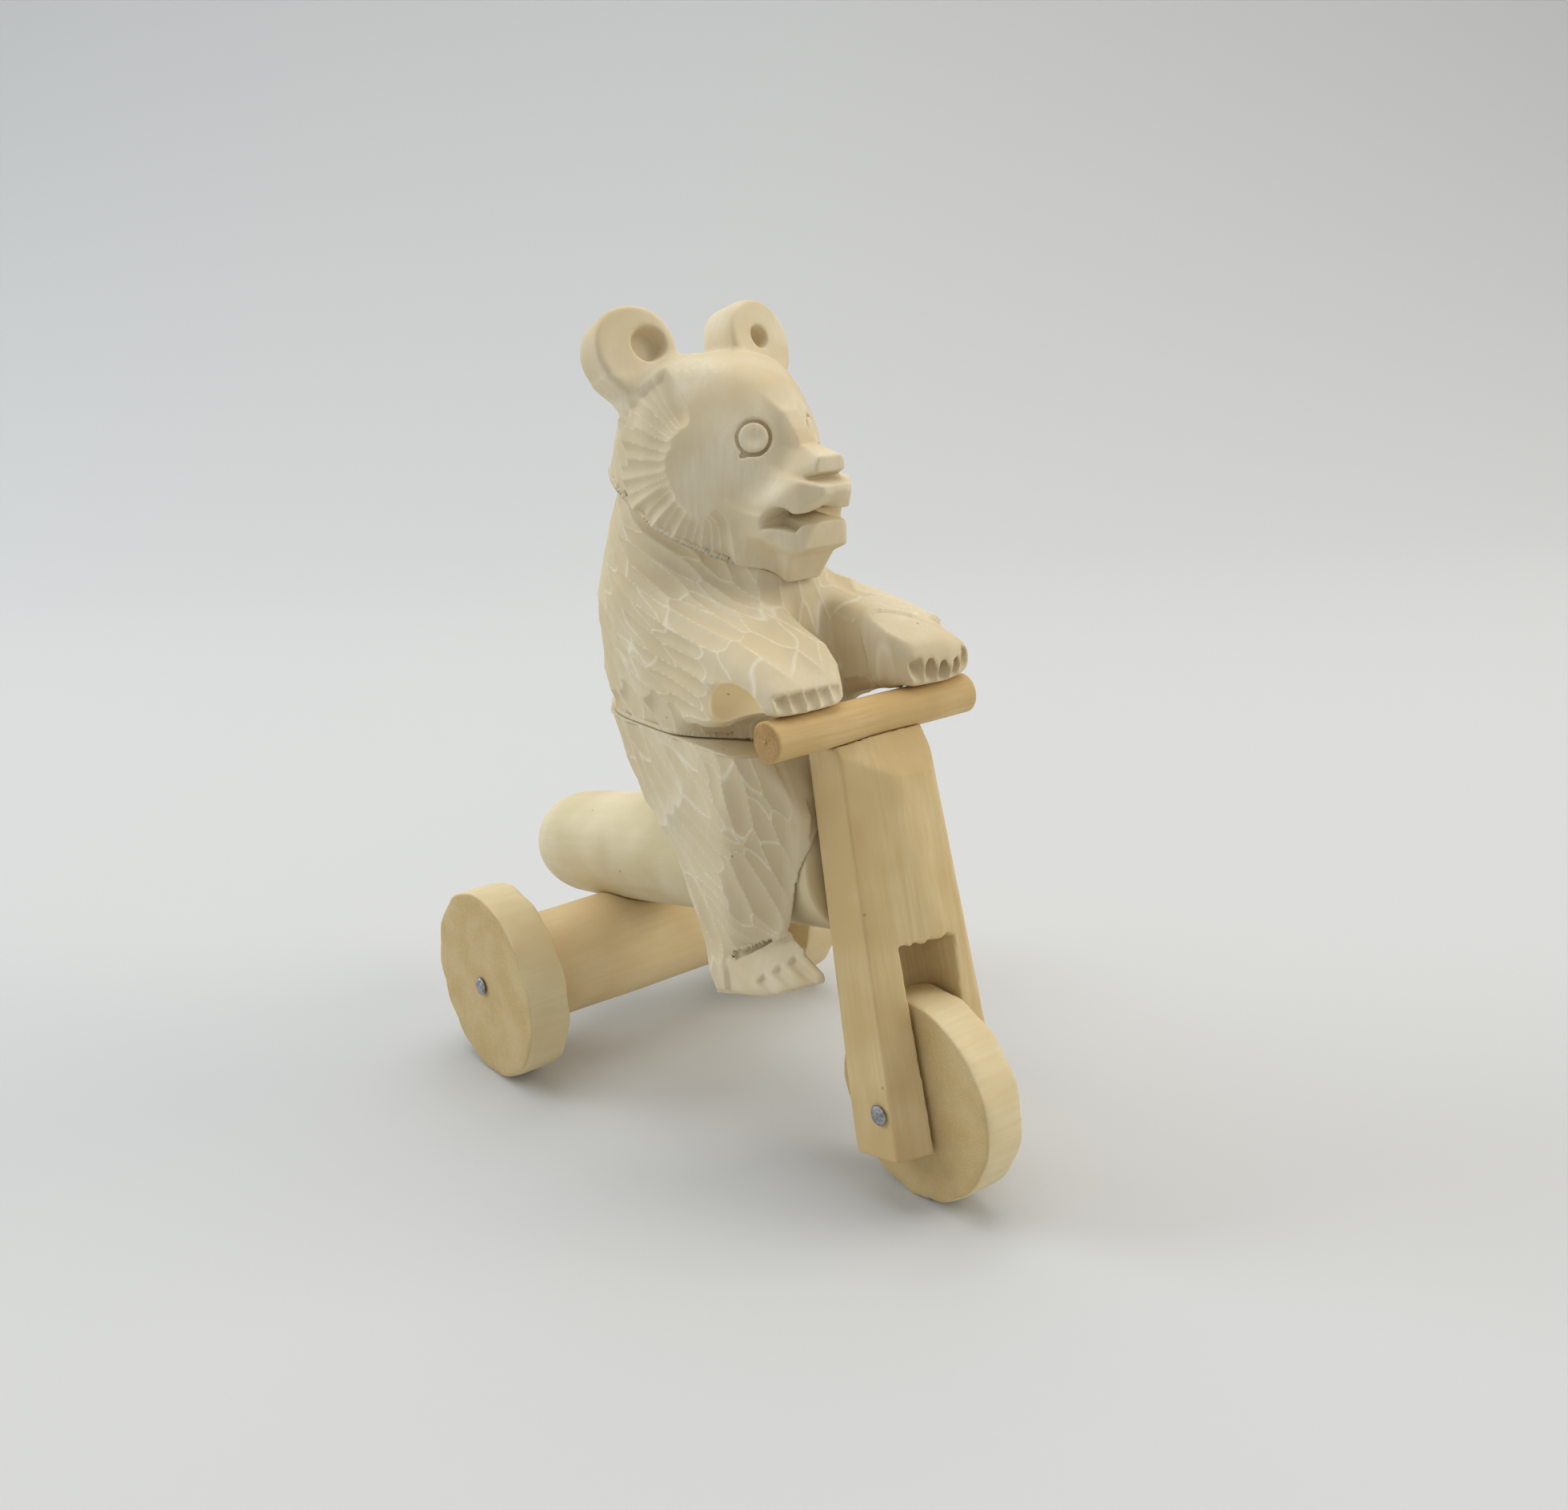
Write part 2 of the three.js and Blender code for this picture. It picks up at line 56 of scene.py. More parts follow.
# ------------------------ where the CAD pieces are
def middle(node):
    low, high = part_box(node)
    return np.array((low + high) / 2) / MM


def half_size(node):
    low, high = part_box(node)
    return np.array((high - low) / 2) / MM


WHEELBASE_FRONT = 55
SEAM_GAP = 0.15  # between a glued face and the seam's plane
TOY_SHIFT = np.array([0, middle("front_wheel")[1] + WHEELBASE_FRONT, 0])
FRONT_AXLE = middle("front_wheel") - TOY_SHIFT
REAR_AXLE = middle("rear_axle_beam") * np.array([0, 1, 0]) - TOY_SHIFT
REAR_AXLE[2] = middle("rear_wheel_right")[2]
WAIST_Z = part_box("bear_torso")[0].z / MM - SEAM_GAP

# The raked frame: its origin is the front axle, +Z runs up the fork and -Y faces forward.
RAKE = math.radians(12.4)
RAKED = np.array([[1, 0, 0], [0, math.cos(RAKE), math.sin(RAKE)], [0, -math.sin(RAKE), math.cos(RAKE)]])
LOG_RADIUS = 12.3
LOG_TAIL = np.array([0, 76.6, 35.0])
LOG_ALONG = np.array([0, -math.cos(RAKE), math.sin(RAKE)])
FORK_BACK = 10.2
LOG_GAP = 0.3
LOG_LENGTH = float(LOG_ALONG @ (FRONT_AXLE - LOG_TAIL)) - FORK_BACK - LOG_GAP
BEAM_RADIUS = 12
HANDLEBAR_ALONG = 71.7  # up the fork from the front axle
HANDLEBAR = FRONT_AXLE + RAKED @ np.array([0, 0, HANDLEBAR_ALONG])
HANDLEBAR_RADIUS, HANDLEBAR_ROOM = 3.8, 0.15
# The fork in the raked frame: its side view, half its width at the foot and at the top.
FORK_FOOT, FORK_TOP = -9, 70.2
FORK_PROFILE = [(-5.5, FORK_FOOT), (-7.6, 32), (-5, FORK_TOP), (8, FORK_TOP), (10.2, 32), (8.7, FORK_FOOT)]
FORK_HALF, FORK_TOP_HALF = 12.6, 9.8
FORK_TAPER, FORK_ROOM = 0.0354, 0.3
# The glue line under the head rises to the front.
NECK_Z, NECK_SLOPE = 123.3, 0.5
# The bore for a hidden peg: its radius, and how far it goes to either side of the seam.
PEG_BORE, PEG_REACH = 3.15, 7.3
GRID = 0.36
COARSE_GRID = 0.5
SKIN_BAND = 3.0  # how far from the skin the grid keeps its distances
MIRROR = {side: np.array([side, 1, 1]) for side in (-1, 1)}


# ------------------------ carving kit
class Block:
    """A block of wood sampled on a grid. A shape is a signed distance in mm, negative inside."""

    def __init__(self, low, high, step):
        self.low, self.step = np.array(low, float), step
        axes = [np.arange(a, b + step, step, dtype=np.float32) for a, b in zip(low, high)]
        self.x, self.y, self.z = np.meshgrid(*axes, indexing="ij", sparse=True)
        self.axes = (self.x, self.y, self.z)

    def ball(self, centre, radii):
        rel = [a - c for a, c in zip(self.axes, centre)]
        near = np.sqrt(sum((a / r) ** 2 for a, r in zip(rel, radii)))
        slope = np.sqrt(sum((a / r**2) ** 2 for a, r in zip(rel, radii))) + 1e-6
        return near * (near - 1) / slope

    def rod(self, point, along, radius):
        along = np.array(along, float) / np.linalg.norm(along)
        rel = [a - c for a, c in zip(self.axes, point)]
        reach = sum(a * c for a, c in zip(rel, along))
        return np.sqrt(np.maximum(sum(a * a for a in rel) - reach**2, 0)) - radius

    def slab(self, point, normal):
        """Distance in front of a plane."""
        normal = np.array(normal, float) / np.linalg.norm(normal)
        return sum((a - c) * n for a, c, n in zip(self.axes, point, normal))

    def knife(self, a, b, c, kept):
        """A flat cut through three points, which keeps the side where kept is."""
        a, b, c, kept = (np.array(p, float) for p in (a, b, c, kept))
        normal = np.cross(b - a, c - a)
        if normal @ (kept - a) > 0:
            normal = -normal
        return self.slab(a, normal)

    def stub(self, point, along, radius, reach):
        """A short rod, reach mm to either side of a point."""
        return np.maximum(self.rod(point, along, radius), np.abs(self.slab(point, along)) - reach)

    def peg_bore(self, point, along):
        return self.stub(point, along, PEG_BORE, PEG_REACH)


def area(u, v, outline):
    """Signed distance to a closed outline in two of the three axes."""
    nearest = np.float32(1e9)
    inside = np.zeros(np.broadcast(u, v).shape, bool)
    for (au, av), (bu, bv) in zip(outline, outline[1:] + outline[:1]):
        du, dv = bu - au, bv - av
        t = np.clip(((u - au) * du + (v - av) * dv) / (du * du + dv * dv), 0, 1)
        nearest = np.minimum(nearest, (u - au - t * du) ** 2 + (v - av - t * dv) ** 2)
        if dv:
            inside ^= ((av > v) != (bv > v)) & (u - au < du * (v - av) / dv)
    return np.sqrt(nearest) * np.where(inside, -1, 1).astype(np.float32)


def both(points):
    """An outline that is the same on both sides of the middle."""
    return [tuple(p) for p in points] + [(-p[0], p[1]) for p in reversed(points)]


CURVE_STEPS = 5


def rounded(points):
    """A smooth closed curve through the points, with CURVE_STEPS steps from each to the next."""
    p = np.array(points, float)
    before, after, beyond = np.roll(p, 1, 0), np.roll(p, -1, 0), np.roll(p, -2, 0)
    made = []
    for i in range(len(p)):
        for t in np.arange(CURVE_STEPS) / CURVE_STEPS:
            made.append(tuple(0.5 * (
                2 * p[i] + (after[i] - before[i]) * t
                + (2 * before[i] - 5 * p[i] + 4 * after[i] - beyond[i]) * t**2
                + (3 * p[i] - before[i] - 3 * after[i] + beyond[i]) * t**3)))
    return made


def common(a, b, blend):
    """What two shapes share, with edges rounded over about blend mm."""
    h = np.clip(0.5 + 0.5 * (a - b) / blend, 0, 1)
    return b + (a - b) * h + blend * h * (1 - h)


def joined(a, b, blend):
    return -common(-a, -b, blend)


def without(a, b, blend):
    return common(a, -b, blend)


def drilled(shape, *bores):
    """A shape with sharp-edged room cut for what goes into it."""
    for bore in bores:
        shape = np.maximum(shape, -bore)
    return shape


def surface(block, shape):
    """The shape's skin, as points and quads."""
    grid = openvdb.FloatGrid(SKIN_BAND)
    grid.copyFromArray(np.ascontiguousarray(np.clip(shape, -SKIN_BAND, SKIN_BAND), np.float32))
    points, quads = grid.convertToQuads()
    points = np.asarray(points, float) * block.step + block.low
    return points, np.asarray(quads, np.int64)


def normals_of(points, quads):
    a, b, c, d = (points[quads[:, i]] for i in range(4))
    face = np.cross(c - a, d - b)
    total = np.zeros_like(points)
    for i in range(4):
        np.add.at(total, quads[:, i], face)
    return total / (np.linalg.norm(total, axis=1, keepdims=True) + 1e-9)


def new_mesh(name, points, quads, material, nodes, attributes=None, body="frame"):
    """Writes a piece in metres in the CAD frame, gives it its material, ties it to its body and hides the CAD
    nodes it replaces.
    """
    mesh = bpy.data.meshes.new(name)
    mesh.vertices.add(len(points))
    mesh.vertices.foreach_set("co", ((points + TOY_SHIFT) * MM).astype(np.float32).ravel())
    mesh.loops.add(quads.size)
    mesh.loops.foreach_set("vertex_index", quads.astype(np.int32).ravel())
    mesh.polygons.add(len(quads))
    mesh.polygons.foreach_set("loop_start", np.arange(len(quads), dtype=np.int32) * quads.shape[1])
    mesh.update(calc_edges=True)
    mesh.validate()
    mesh.shade_smooth()
    for key, values in (attributes or {}).items():
        layer = mesh.attributes.new(key, "FLOAT", "POINT")
        layer.data.foreach_set("value", np.asarray(values, np.float32))
    piece = bpy.data.objects.new(name, mesh)
    bpy.context.scene.collection.objects.link(piece)
    mesh.materials.append(material)
    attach(piece, body)
    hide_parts(*nodes)


def touch(block, shape, point, direction):
    """Where a line from outside first meets the shape's skin."""
    direction = direction / np.linalg.norm(direction)
    for reach in np.arange(0, 40, 0.1):
        spot = point + direction * reach
        cell = np.round((spot - block.low) / block.step).astype(int)
        if np.all((cell >= 0) & (cell < shape.shape)) and shape[tuple(cell)] < 0:
            return spot
    raise ValueError("the line misses the shape")


# ------------------------ gouge strokes
LAP = 0.85  # neighbouring cuts meet this share of a pitch away from the middle of either
BITE = 0.12  # how much deeper a cut goes than it needs to meet its neighbours
RUN_OUT = 1.2  # how much longer a cut is than the length it has to cover
CLAIM_WIDE, CLAIM_LONG = 0.9, 0.95  # shares of a cut's pitch and length within which no other starts
ROW_REACH = 2.0  # how far from its place beside the last cut the next one may start
RIDGE_WIDTH, RIDGE_DEPTH = 0.1, 0.2


def stroke(point, normal, direction, pitch, length, radius):
    """One gouge cut: pitch mm from its neighbour, length mm to either end, with a tool of that radius.
    Its direction is laid flat on the skin."""
    along = direction - normal * (direction @ normal)
    along /= np.linalg.norm(along) + 1e-9
    depth = (pitch * LAP) ** 2 / (2 * radius) + BITE
    half_width = math.sqrt(2 * radius * depth)
    return point, normal, along, np.cross(normal, along), half_width, length * RUN_OUT, depth


def spread_strokes(points, normals, field, rng):
    """Strokes that cover the skin like shingles. field(point, normal, rng) gives each one's direction,
    pitch, half length and tool radius, or None where nothing is cut."""
    free = np.ones(len(points), bool)
    strokes = []
    order = iter(rng.permutation(len(points)))
    beside = None
    while free.any():
        # The next cut goes beside the last one; where that is taken, a new row starts.
        i = None
        if beside is not None:
            gap = np.where(free, np.sum((points - beside) ** 2, axis=1), 1e9)
            i = int(np.argmin(gap))
            i = i if gap[i] < ROW_REACH**2 else None
            beside = None
        if i is None:
            i = next(j for j in order if free[j])
        plan = field(points[i], normals[i], rng)
        if plan is None:
            free[i] = False
            continue
        pitch, length = plan[1:3]
        strokes.append(stroke(points[i], normals[i], *plan))
        along, across = strokes[-1][2:4]
        rel = points - points[i]
        near = ((rel @ across) / (pitch * CLAIM_WIDE)) ** 2 + ((rel @ along) / (length * CLAIM_LONG)) ** 2
        beside = points[i] + across * pitch
        free &= (near > 1) | (normals @ normals[i] < 0)
    return strokes


def carve(points, normals, strokes):
    """How deep the strokes cut each point, and how near it is to the ridge between two strokes.
    A stroke leaves alone what lies far above or below it and what faces away from it."""
    first = np.zeros(len(points))
    second = np.zeros(len(points))
    for centre, normal, along, across, width, length, depth in strokes:
        rel = points - centre
        t, u, out = rel @ along, rel @ across, rel @ normal
        cut = depth * (1 - (u / width) ** 2 - np.abs(t / length) ** 4)
        cut[(np.abs(out) > length * 0.8) | (normals @ normal < 0.1)] = 0
        cut = np.maximum(cut, 0)
        second = np.maximum(second, np.minimum(first, cut))
        first = np.maximum(first, cut)
    return first, np.exp(-(first - second) / RIDGE_WIDTH) * np.clip(second / RIDGE_DEPTH, 0, 1)


def carved_piece(name, block, shape, field, still, node, rng, extra=(), raised=1.0, end_grain_and_painted_shade=None):
    """Skins a shape and gouges it all over, first with the extra strokes and then as the field says,
    except where still(points, normals) is near 0. With raised at 1 the cuts keep the mean surface in
    place, and with 0 they only go inwards. Where the last argument gives 1 the wood takes its end-grain
    colour, which in the torso's hollow is painted warm shade."""
    points, quads = surface(block, shape)
    end = np.zeros(len(points)) if end_grain_and_painted_shade is None else end_grain_and_painted_shade(points)
    normals = normals_of(points, quads)
    strokes = []
    for spot, *plan in extra:
        i = np.argmin(np.sum((points - spot) ** 2, axis=1))
        strokes.append(stroke(points[i], normals[i], *plan))
    strokes += spread_strokes(points, normals, field, rng)
    depth, ridge_highlight_mask = carve(points, normals, strokes)
    mask = still(points, normals)
    level = np.mean(depth[mask > 0.5]) * raised
    points = points - normals * ((depth - level) * mask)[:, None]
    # The depth attribute drives painted shade in the troughs and the ridge attribute a painted highlight on
    # the ridges; the end attribute gives the end-grain colour, which in the torso's hollow is painted warm
    # shade.
    new_mesh(name, points, quads, MATERIALS["carved"], [node],
             {"ridge_highlight_mask": ridge_highlight_mask * mask, "depth": depth * mask, "end": end})


# ------------------------ materials
def new_material(name):
    material = bpy.data.materials.new(name)
    material.use_nodes = True
    return material, material.node_tree, material.node_tree.nodes["Principled BSDF"]


def ramp_value(tree, source, low, high, out_low, out_high):
    node = tree.nodes.new("ShaderNodeMapRange")
    node.inputs["From Min"].default_value = low
    node.inputs["From Max"].default_value = high
    node.inputs["To Min"].default_value = out_low
    node.inputs["To Max"].default_value = out_high
    tree.links.new(source, node.inputs["Value"])
    return node.outputs["Result"]


def mixed(tree, factor, a, b):
    """A colour between a and b, which are colours or sockets. The factor is a socket."""
    node = tree.nodes.new("ShaderNodeMix")
    node.data_type = "RGBA"
    for value, socket in ((factor, node.inputs[0]), (a, node.inputs[6]), (b, node.inputs[7])):
        if isinstance(value, tuple):
            socket.default_value = (*value, 1)
        else:
            tree.links.new(value, socket)
    return node.outputs[2]


def noise(tree, coordinates, stretch, scale, detail, roughness=0.55):
    mapping = tree.nodes.new("ShaderNodeMapping")
    mapping.inputs["Scale"].default_value = stretch
    tree.links.new(coordinates, mapping.inputs["Vector"])
    node = tree.nodes.new("ShaderNodeTexNoise")
    node.inputs["Scale"].default_value = scale
    node.inputs["Detail"].default_value = detail
    node.inputs["Roughness"].default_value = roughness
    tree.links.new(mapping.outputs[0], node.inputs["Vector"])
    return node.outputs["Fac"]


def attribute(tree, name):
    node = tree.nodes.new("ShaderNodeAttribute")
    node.attribute_name = name
    return node.outputs["Fac"]


def bump(tree, shader, height, strength):
    node = tree.nodes.new("ShaderNodeBump")
    node.inputs["Strength"].default_value = strength
    node.inputs["Distance"].default_value = BUMP_DISTANCE
    tree.links.new(height, node.inputs["Height"])
    tree.links.new(node.outputs[0], shader.inputs["Normal"])


def wood(name, tone, dark, grain, streaks=0.5, turn=(0, 0, 0), end=None):
    """Bare wood: broad mottling, streaks along the grain, a few pin knots, painted shade in the troughs
    and a painted highlight on the ridges where it was cut. The grain is how often the streaks change per mm
    along each axis."""
    material, tree, shader = new_material(name)
    shader.inputs["Specular IOR Level"].default_value = 0.3
    shader.inputs["Subsurface Weight"].default_value = 0.06
    shader.inputs["Subsurface Radius"].default_value = (1.0, 0.7, 0.4)
    shader.inputs["Subsurface Scale"].default_value = 0.0015
    place = tree.nodes.new("ShaderNodeTexCoord")
    turned = tree.nodes.new("ShaderNodeMapping")
    turned.inputs["Rotation"].default_value = turn
    turned.inputs["Scale"].default_value = (1 / MM, 1 / MM, 1 / MM)
    tree.links.new(place.outputs["Object"], turned.inputs["Vector"])
    spot = turned.outputs[0]
    broad = noise(tree, spot, (0.05, 0.05, 0.05), 1, 2)
    color = mixed(tree, ramp_value(tree, broad, 0.38, 0.62, 0, 1), dark, tone)
    streak = noise(tree, spot, grain, 1, 4, 0.6)
    color = mixed(tree, ramp_value(tree, streak, 0.35, 0.65, 0, streaks), color, dark)
    if end:
        # Cut across the grain the wood is darker, with rows of open pores. The carved wood's end colour is
        # laid only in the torso's hollow, where it is painted warm shade.
        across = noise(tree, spot, (0.12, 0.12, 0.12), 1, 2, 0.5)
        pores = noise(tree, spot, (2.2, 2.2, 2.2), 1, 3, 0.6)
        face = mixed(tree, ramp_value(tree, across, 0.38, 0.62, 0, 0.22), end, tone)
        face = mixed(tree, ramp_value(tree, pores, 0.5, 0.7, 0, 0.3), face, tone)
        color = mixed(tree, attribute(tree, "end"), color, face)
    # Painted shade: the deeper a cut goes, the more the colour darkens towards the dark tone, standing in for
    # shade in the troughs.
    trough_shade = ramp_value(tree, attribute(tree, "depth"), 0.4, 1.7, 0, 0.6)
    color = mixed(tree, trough_shade, color, dark)
    # Painted highlight: a pale colour laid along the ridges between cuts, where light would catch them.
    ridge_highlight_mask = ramp_value(tree, attribute(tree, "ridge_highlight_mask"), 0.3, 0.95, 0, 0.6)
    color = mixed(tree, ridge_highlight_mask, color, PAINTED_RIDGE_HIGHLIGHT)
    knots = tree.nodes.new("ShaderNodeTexVoronoi")
    knots.inputs["Scale"].default_value = KNOTS_PER_MM
    tree.links.new(spot, knots.inputs["Vector"])
    pin = ramp_value(tree, knots.outputs["Distance"], 0.02, 0.045, 0.5, 0)
    color = mixed(tree, pin, color, KNOT_BROWN)
    tree.links.new(color, shader.inputs["Base Color"])
    rough = ramp_value(tree, streak, 0.3, 0.7, 0.5, 0.72)
    tree.links.new(rough, shader.inputs["Roughness"])
    fibres = noise(tree, spot, tuple(5 * g for g in grain), 1, 3, 0.7)
    bump(tree, shader, fibres, 0.15)
    return material


def steel(name):
    material, tree, shader = new_material(name)
    shader.inputs["Metallic"].default_value = 0.85
    place = tree.nodes.new("ShaderNodeTexCoord")
    worn = noise(tree, place.outputs["Object"], (1 / MM, 1 / MM, 1 / MM), 1.2, 5, 0.7)
    color = mixed(tree, ramp_value(tree, worn, 0.4, 0.6, 0, 1), STEEL_DARK, STEEL_PALE)
    tree.links.new(color, shader.inputs["Base Color"])
    tree.links.new(ramp_value(tree, worn, 0.3, 0.7, 0.3, 0.55), shader.inputs["Roughness"])
    bump(tree, shader, worn, 0.4)
    return material


BUMP_DISTANCE = 0.0003
KNOTS_PER_MM = 0.11
KNOT_BROWN = (0.12, 0.07, 0.03)
# The colour of the painted highlight on the ridges between cuts.
PAINTED_RIDGE_HIGHLIGHT = (0.92, 0.87, 0.71)
STEEL_DARK, STEEL_PALE = (0.20, 0.20, 0.21), (0.48, 0.48, 0.50)
ALONG_X, ALONG_Z = (0.06, 0.9, 0.9), (0.9, 0.9, 0.06)
MATERIALS = {
    # The carved wood's end colour shows only in the torso's hollow, as painted warm shade with end-grain
    # pores.
    "carved": wood("carved_linden", (0.79, 0.71, 0.52), (0.68, 0.56, 0.35), ALONG_Z,
                   streaks=0.35, end=(0.88, 0.67, 0.34)),
    "fork": wood("planed_linden", (0.73, 0.58, 0.31), (0.60, 0.43, 0.20), (1.1, 1.1, 0.03),
                 turn=(RAKE, 0, 0)),
    "log": wood("peeled_linden", (0.77, 0.68, 0.46), (0.66, 0.56, 0.34), (0.5, 0.04, 0.5),
                streaks=0.35, turn=(RAKE, 0, 0)),
    "beam": wood("beam_linden", (0.78, 0.63, 0.36), (0.68, 0.51, 0.27), ALONG_X, streaks=0.45),
    "wheel": wood("wheel_linden", (0.80, 0.68, 0.42), (0.70, 0.56, 0.31), ALONG_X, end=(0.56, 0.40, 0.17)),
    "dowel": wood("dowel_wood", (0.72, 0.54, 0.27), (0.60, 0.41, 0.17), ALONG_X,
                  streaks=0.8, end=(0.36, 0.19, 0.05)),
    "steel": steel("nail_steel"),
}


# ------------------------ bear: head
HEAD_GAP = 0.2  # between the head and the seam's plane
EAR = np.array([14, 12, 153.5])
EAR_RADIUS, EAR_HALF = 8.4, 4.4
EAR_NOD = -0.35
EAR_TURN = {-1: 0.12, 1: 0.25}
EAR_BORE, EAR_HOLE_INWARD = {-1: 3.7, 1: 2.5}, {-1: 2.6, 1: 0.6}  # the holes differ
EAR_ROUNDING = 1.5
EYE = np.array([8.0, -18.4, 139.4])
EYE_RADIUS, EYE_GROOVE, EYE_DEPTH = 3.05, 0.6, 1.5
# The cheek cuts fan out from the heart. They start MANE_START from it and run for twice MANE_REACH.
MANE_HEART = np.array([19.0, -15.5, 135.5])
MANE_START, MANE_REACH = 11.5, 6.5


def ear(block, side):
    """A thick round ear in its own tilted frame, with a gouged hole near its inner edge."""
    turn = Matrix.Rotation(side * EAR_TURN[side], 3, "Z") @ Matrix.Rotation(EAR_NOD, 3, "X")
    across, deep, high = (sum((a - c) * n for a, c, n in zip(block.axes, EAR * MIRROR[side], turn.col[i]))
                          for i in range(3))
    out = np.sqrt(across**2 + high**2)
    disc = common(out - EAR_RADIUS, np.abs(deep) - EAR_HALF, EAR_ROUNDING)
    # Below its middle the ear narrows in two straight cuts to a corner.
    wedge = np.maximum(np.abs(across) * 0.78 - high * 0.62 - EAR_RADIUS, high + 5)
    root = common(wedge, np.abs(deep) - EAR_HALF + 0.3, EAR_ROUNDING)
    root = common(root, out - 10.5, 1)
    # The hole is blind, a little wider than high, and narrows as it goes in.
    hole = np.sqrt((across + side * EAR_HOLE_INWARD[side]) ** 2 + ((high - 0.4) * 1.05) ** 2)
    hole = hole - EAR_BORE[side] + 0.25 * np.maximum(deep + EAR_HALF, 0)
    return without(joined(disc, root, 1.0), np.maximum(hole, deep + 1.2), 0.35)


def sawn(block, profile, plan, front, edges):
    """A block sawn from the side, from above and from the front."""
    whole = common(area(block.y, block.z, profile), area(block.x, block.y, both(plan)), edges[0])
    return common(whole, area(block.x, block.z, both(front)), edges[1])


def muzzle(block):
    nose = sawn(block, [(-12, 146), (-19.6, 143.4), (-22.4, 140.4), (-24.2, 137.9), (-30.6, 136.2),
                        (-30.4, 133.5), (-26.8, 132.0), (-12, 130)],
                [(-9, -12), (-6.2, -20), (-4.6, -26), (-3.2, -30.8)],
                [(-1.8, 148), (-2.2, 137.2), (-4.4, 133.4), (-7, 130.5), (-9, 128)], (0.5, 0.7))
    upper = sawn(block, [(-10, 134.5), (-27.4, 132.3), (-32.1, 131.2), (-32.4, 129.8), (-28, 126.2),
                         (-10, 124.5)],
                 [(-13.5, -10), (-11, -17), (-8.8, -23), (-6.2, -28), (-2.9, -32.7)],
                 [(-4, 136), (-6.4, 131.6), (-9.2, 127.6), (-11, 123)], (0.6, 1.0))
    lower = sawn(block, [(-10, 127), (-26, 125.4), (-29.8, 124.6), (-28.4, 119.8), (-24.6, 117.8),
                         (-22.4, 113.8), (-20.5, 109.5), (-8, 108)],
                 [(-15, -8), (-12, -16), (-9.4, -22.5), (-6.2, -27.0), (-2.6, -30.8)],
                 [(-11, 128), (-9.6, 121.5), (-5.6, 118.4), (-4.2, 113), (-3.2, 108)], (0.6, 1.0))
    return joined(joined(upper, nose, 0.6), lower, 0.6)


def head_shape(block):
    front = area(block.x, block.z, rounded(both([
        (-15, 158), (-20, 148), (-21, 136), (-20.5, 122), (-18, 106)])))
    skull = common(block.ball((0, 1.8, 131.0), (23.0, 22.8, 25.3)), front, 4)
    skull = common(skull, block.slab((0, 2, 153.6), (0, -0.16, 1)), 5)
    jowl = common(block.ball((0, -2.5, 120), (17.5, 16.2, 17)), front, 4)
    skull = joined(skull, jowl, 4)
    # Three flat cuts make each side of the face: the cheek, the temple and the brow.
    for mirror in MIRROR.values():
        for near, far, third in (((9, -17.6, 138), (21, -2.6, 138), (9.6, -18.2, 116)),
                                 ((9, -17.2, 137), (21, -2.2, 137), (9, -12.8, 145.2)),
                                 ((9, -13.2, 144.2), (21, 1.8, 144.2), (9, -7.2, 149.6))):
            cut = block.knife(mirror * near, mirror * far, mirror * third, (0, 0, 130))
            skull = common(skull, cut, 2.5)
    whole = joined(skull, muzzle(block), 2.5)
    # The mouth: a wedge sawn in from the front, ending in a round gouge cut at each corner.
    mouth = area(block.y, block.z + 0.3 * np.abs(block.x), [
        (-40, 132), (-32.4, 130.2), (-28.2, 127.2), (-21.6, 126.9), (-21.6, 126.1), (-26, 125.7),
        (-30.8, 125.0), (-40, 124.6)])
    corner = np.sqrt((block.y + 24.6) ** 2 + (block.z - 124.4) ** 2) - 2.9
    corner = np.maximum(corner, 4.0 - np.abs(block.x))
    corner = np.maximum(corner, block.slab((0, -24.6, 123.2), (0, 0.2, -1)))
    whole = without(whole, joined(mouth, corner, 0.5), 0.3)
    for side, mirror in MIRROR.items():
        whole = joined(whole, ear(block, side), 1.2)
        axis = np.array([side * 0.6, -0.78, 0.2])
        centre = touch(block, whole, EYE * mirror + axis * 8, -axis)
        ring = np.abs(block.rod(centre, axis, EYE_RADIUS)) - EYE_GROOVE / 2
        whole = without(whole, np.maximum(ring, -block.slab(centre, axis) - EYE_DEPTH), 0.25)
        whole = without(whole, block.ball(centre + axis * 2.5, (2.8, 2.8, 2.8)), 0.4)
        # A level cut under the eye sets it off from the cheek.
        sill = centre - np.array([0, 0, EYE_RADIUS + 0.2])
        whole = without(whole, block.stub(sill, (0.78, side * 0.62, 0), 0.5, 2.6), 0.4)
    whole = common(whole, block.slab((0, 0, NECK_Z + HEAD_GAP), (0, NECK_SLOPE, -1)), 0.5)
    return drilled(whole, block.peg_bore((0, 0, NECK_Z), (0, -NECK_SLOPE, 1)))


def from_ears(points):
    """Distance to the nearer ear."""
    return np.min([np.linalg.norm(points - (EAR * mirror - (0, 0, 1)), axis=-1)
                   for mirror in MIRROR.values()], axis=0)


def head_field(point, normal, rng):
    """Strokes on the crown and the back of the head. The glue face, the ears, the face and the fans of
    cheek cuts get none."""
    x, y, z = point
    side = 1 if x > 0 else -1
    if z < NECK_Z + NECK_SLOPE * y + 0.8 and normal[2] < -0.5 or from_ears(point) < 10:
        return None
    jitter = rng.normal(0, 0.08, 3)
    behind, below = y - MANE_HEART[1], MANE_HEART[2] - z
    far, turn = math.hypot(behind, below), math.degrees(math.atan2(below, behind))
    muzzle_side = y < -14 and abs(x) < 13
    cheek = far < MANE_START + 2 and y < -2
    brow = y < -2 and z > 138 or y < 5 and z > 148
    fan = abs(x) > 9 and far < MANE_START + 2 * MANE_REACH and -44 < turn < 124
    if muzzle_side or cheek or brow or fan:
        return None
    if z > 147:
        return (np.array([side * 0.9, 0.6, 0.0]) + jitter, 2.6, 4, 4)
    return (np.array([-side * 1.0, -1.0, -0.9]) + jitter, 2.9, 6, 2.4)


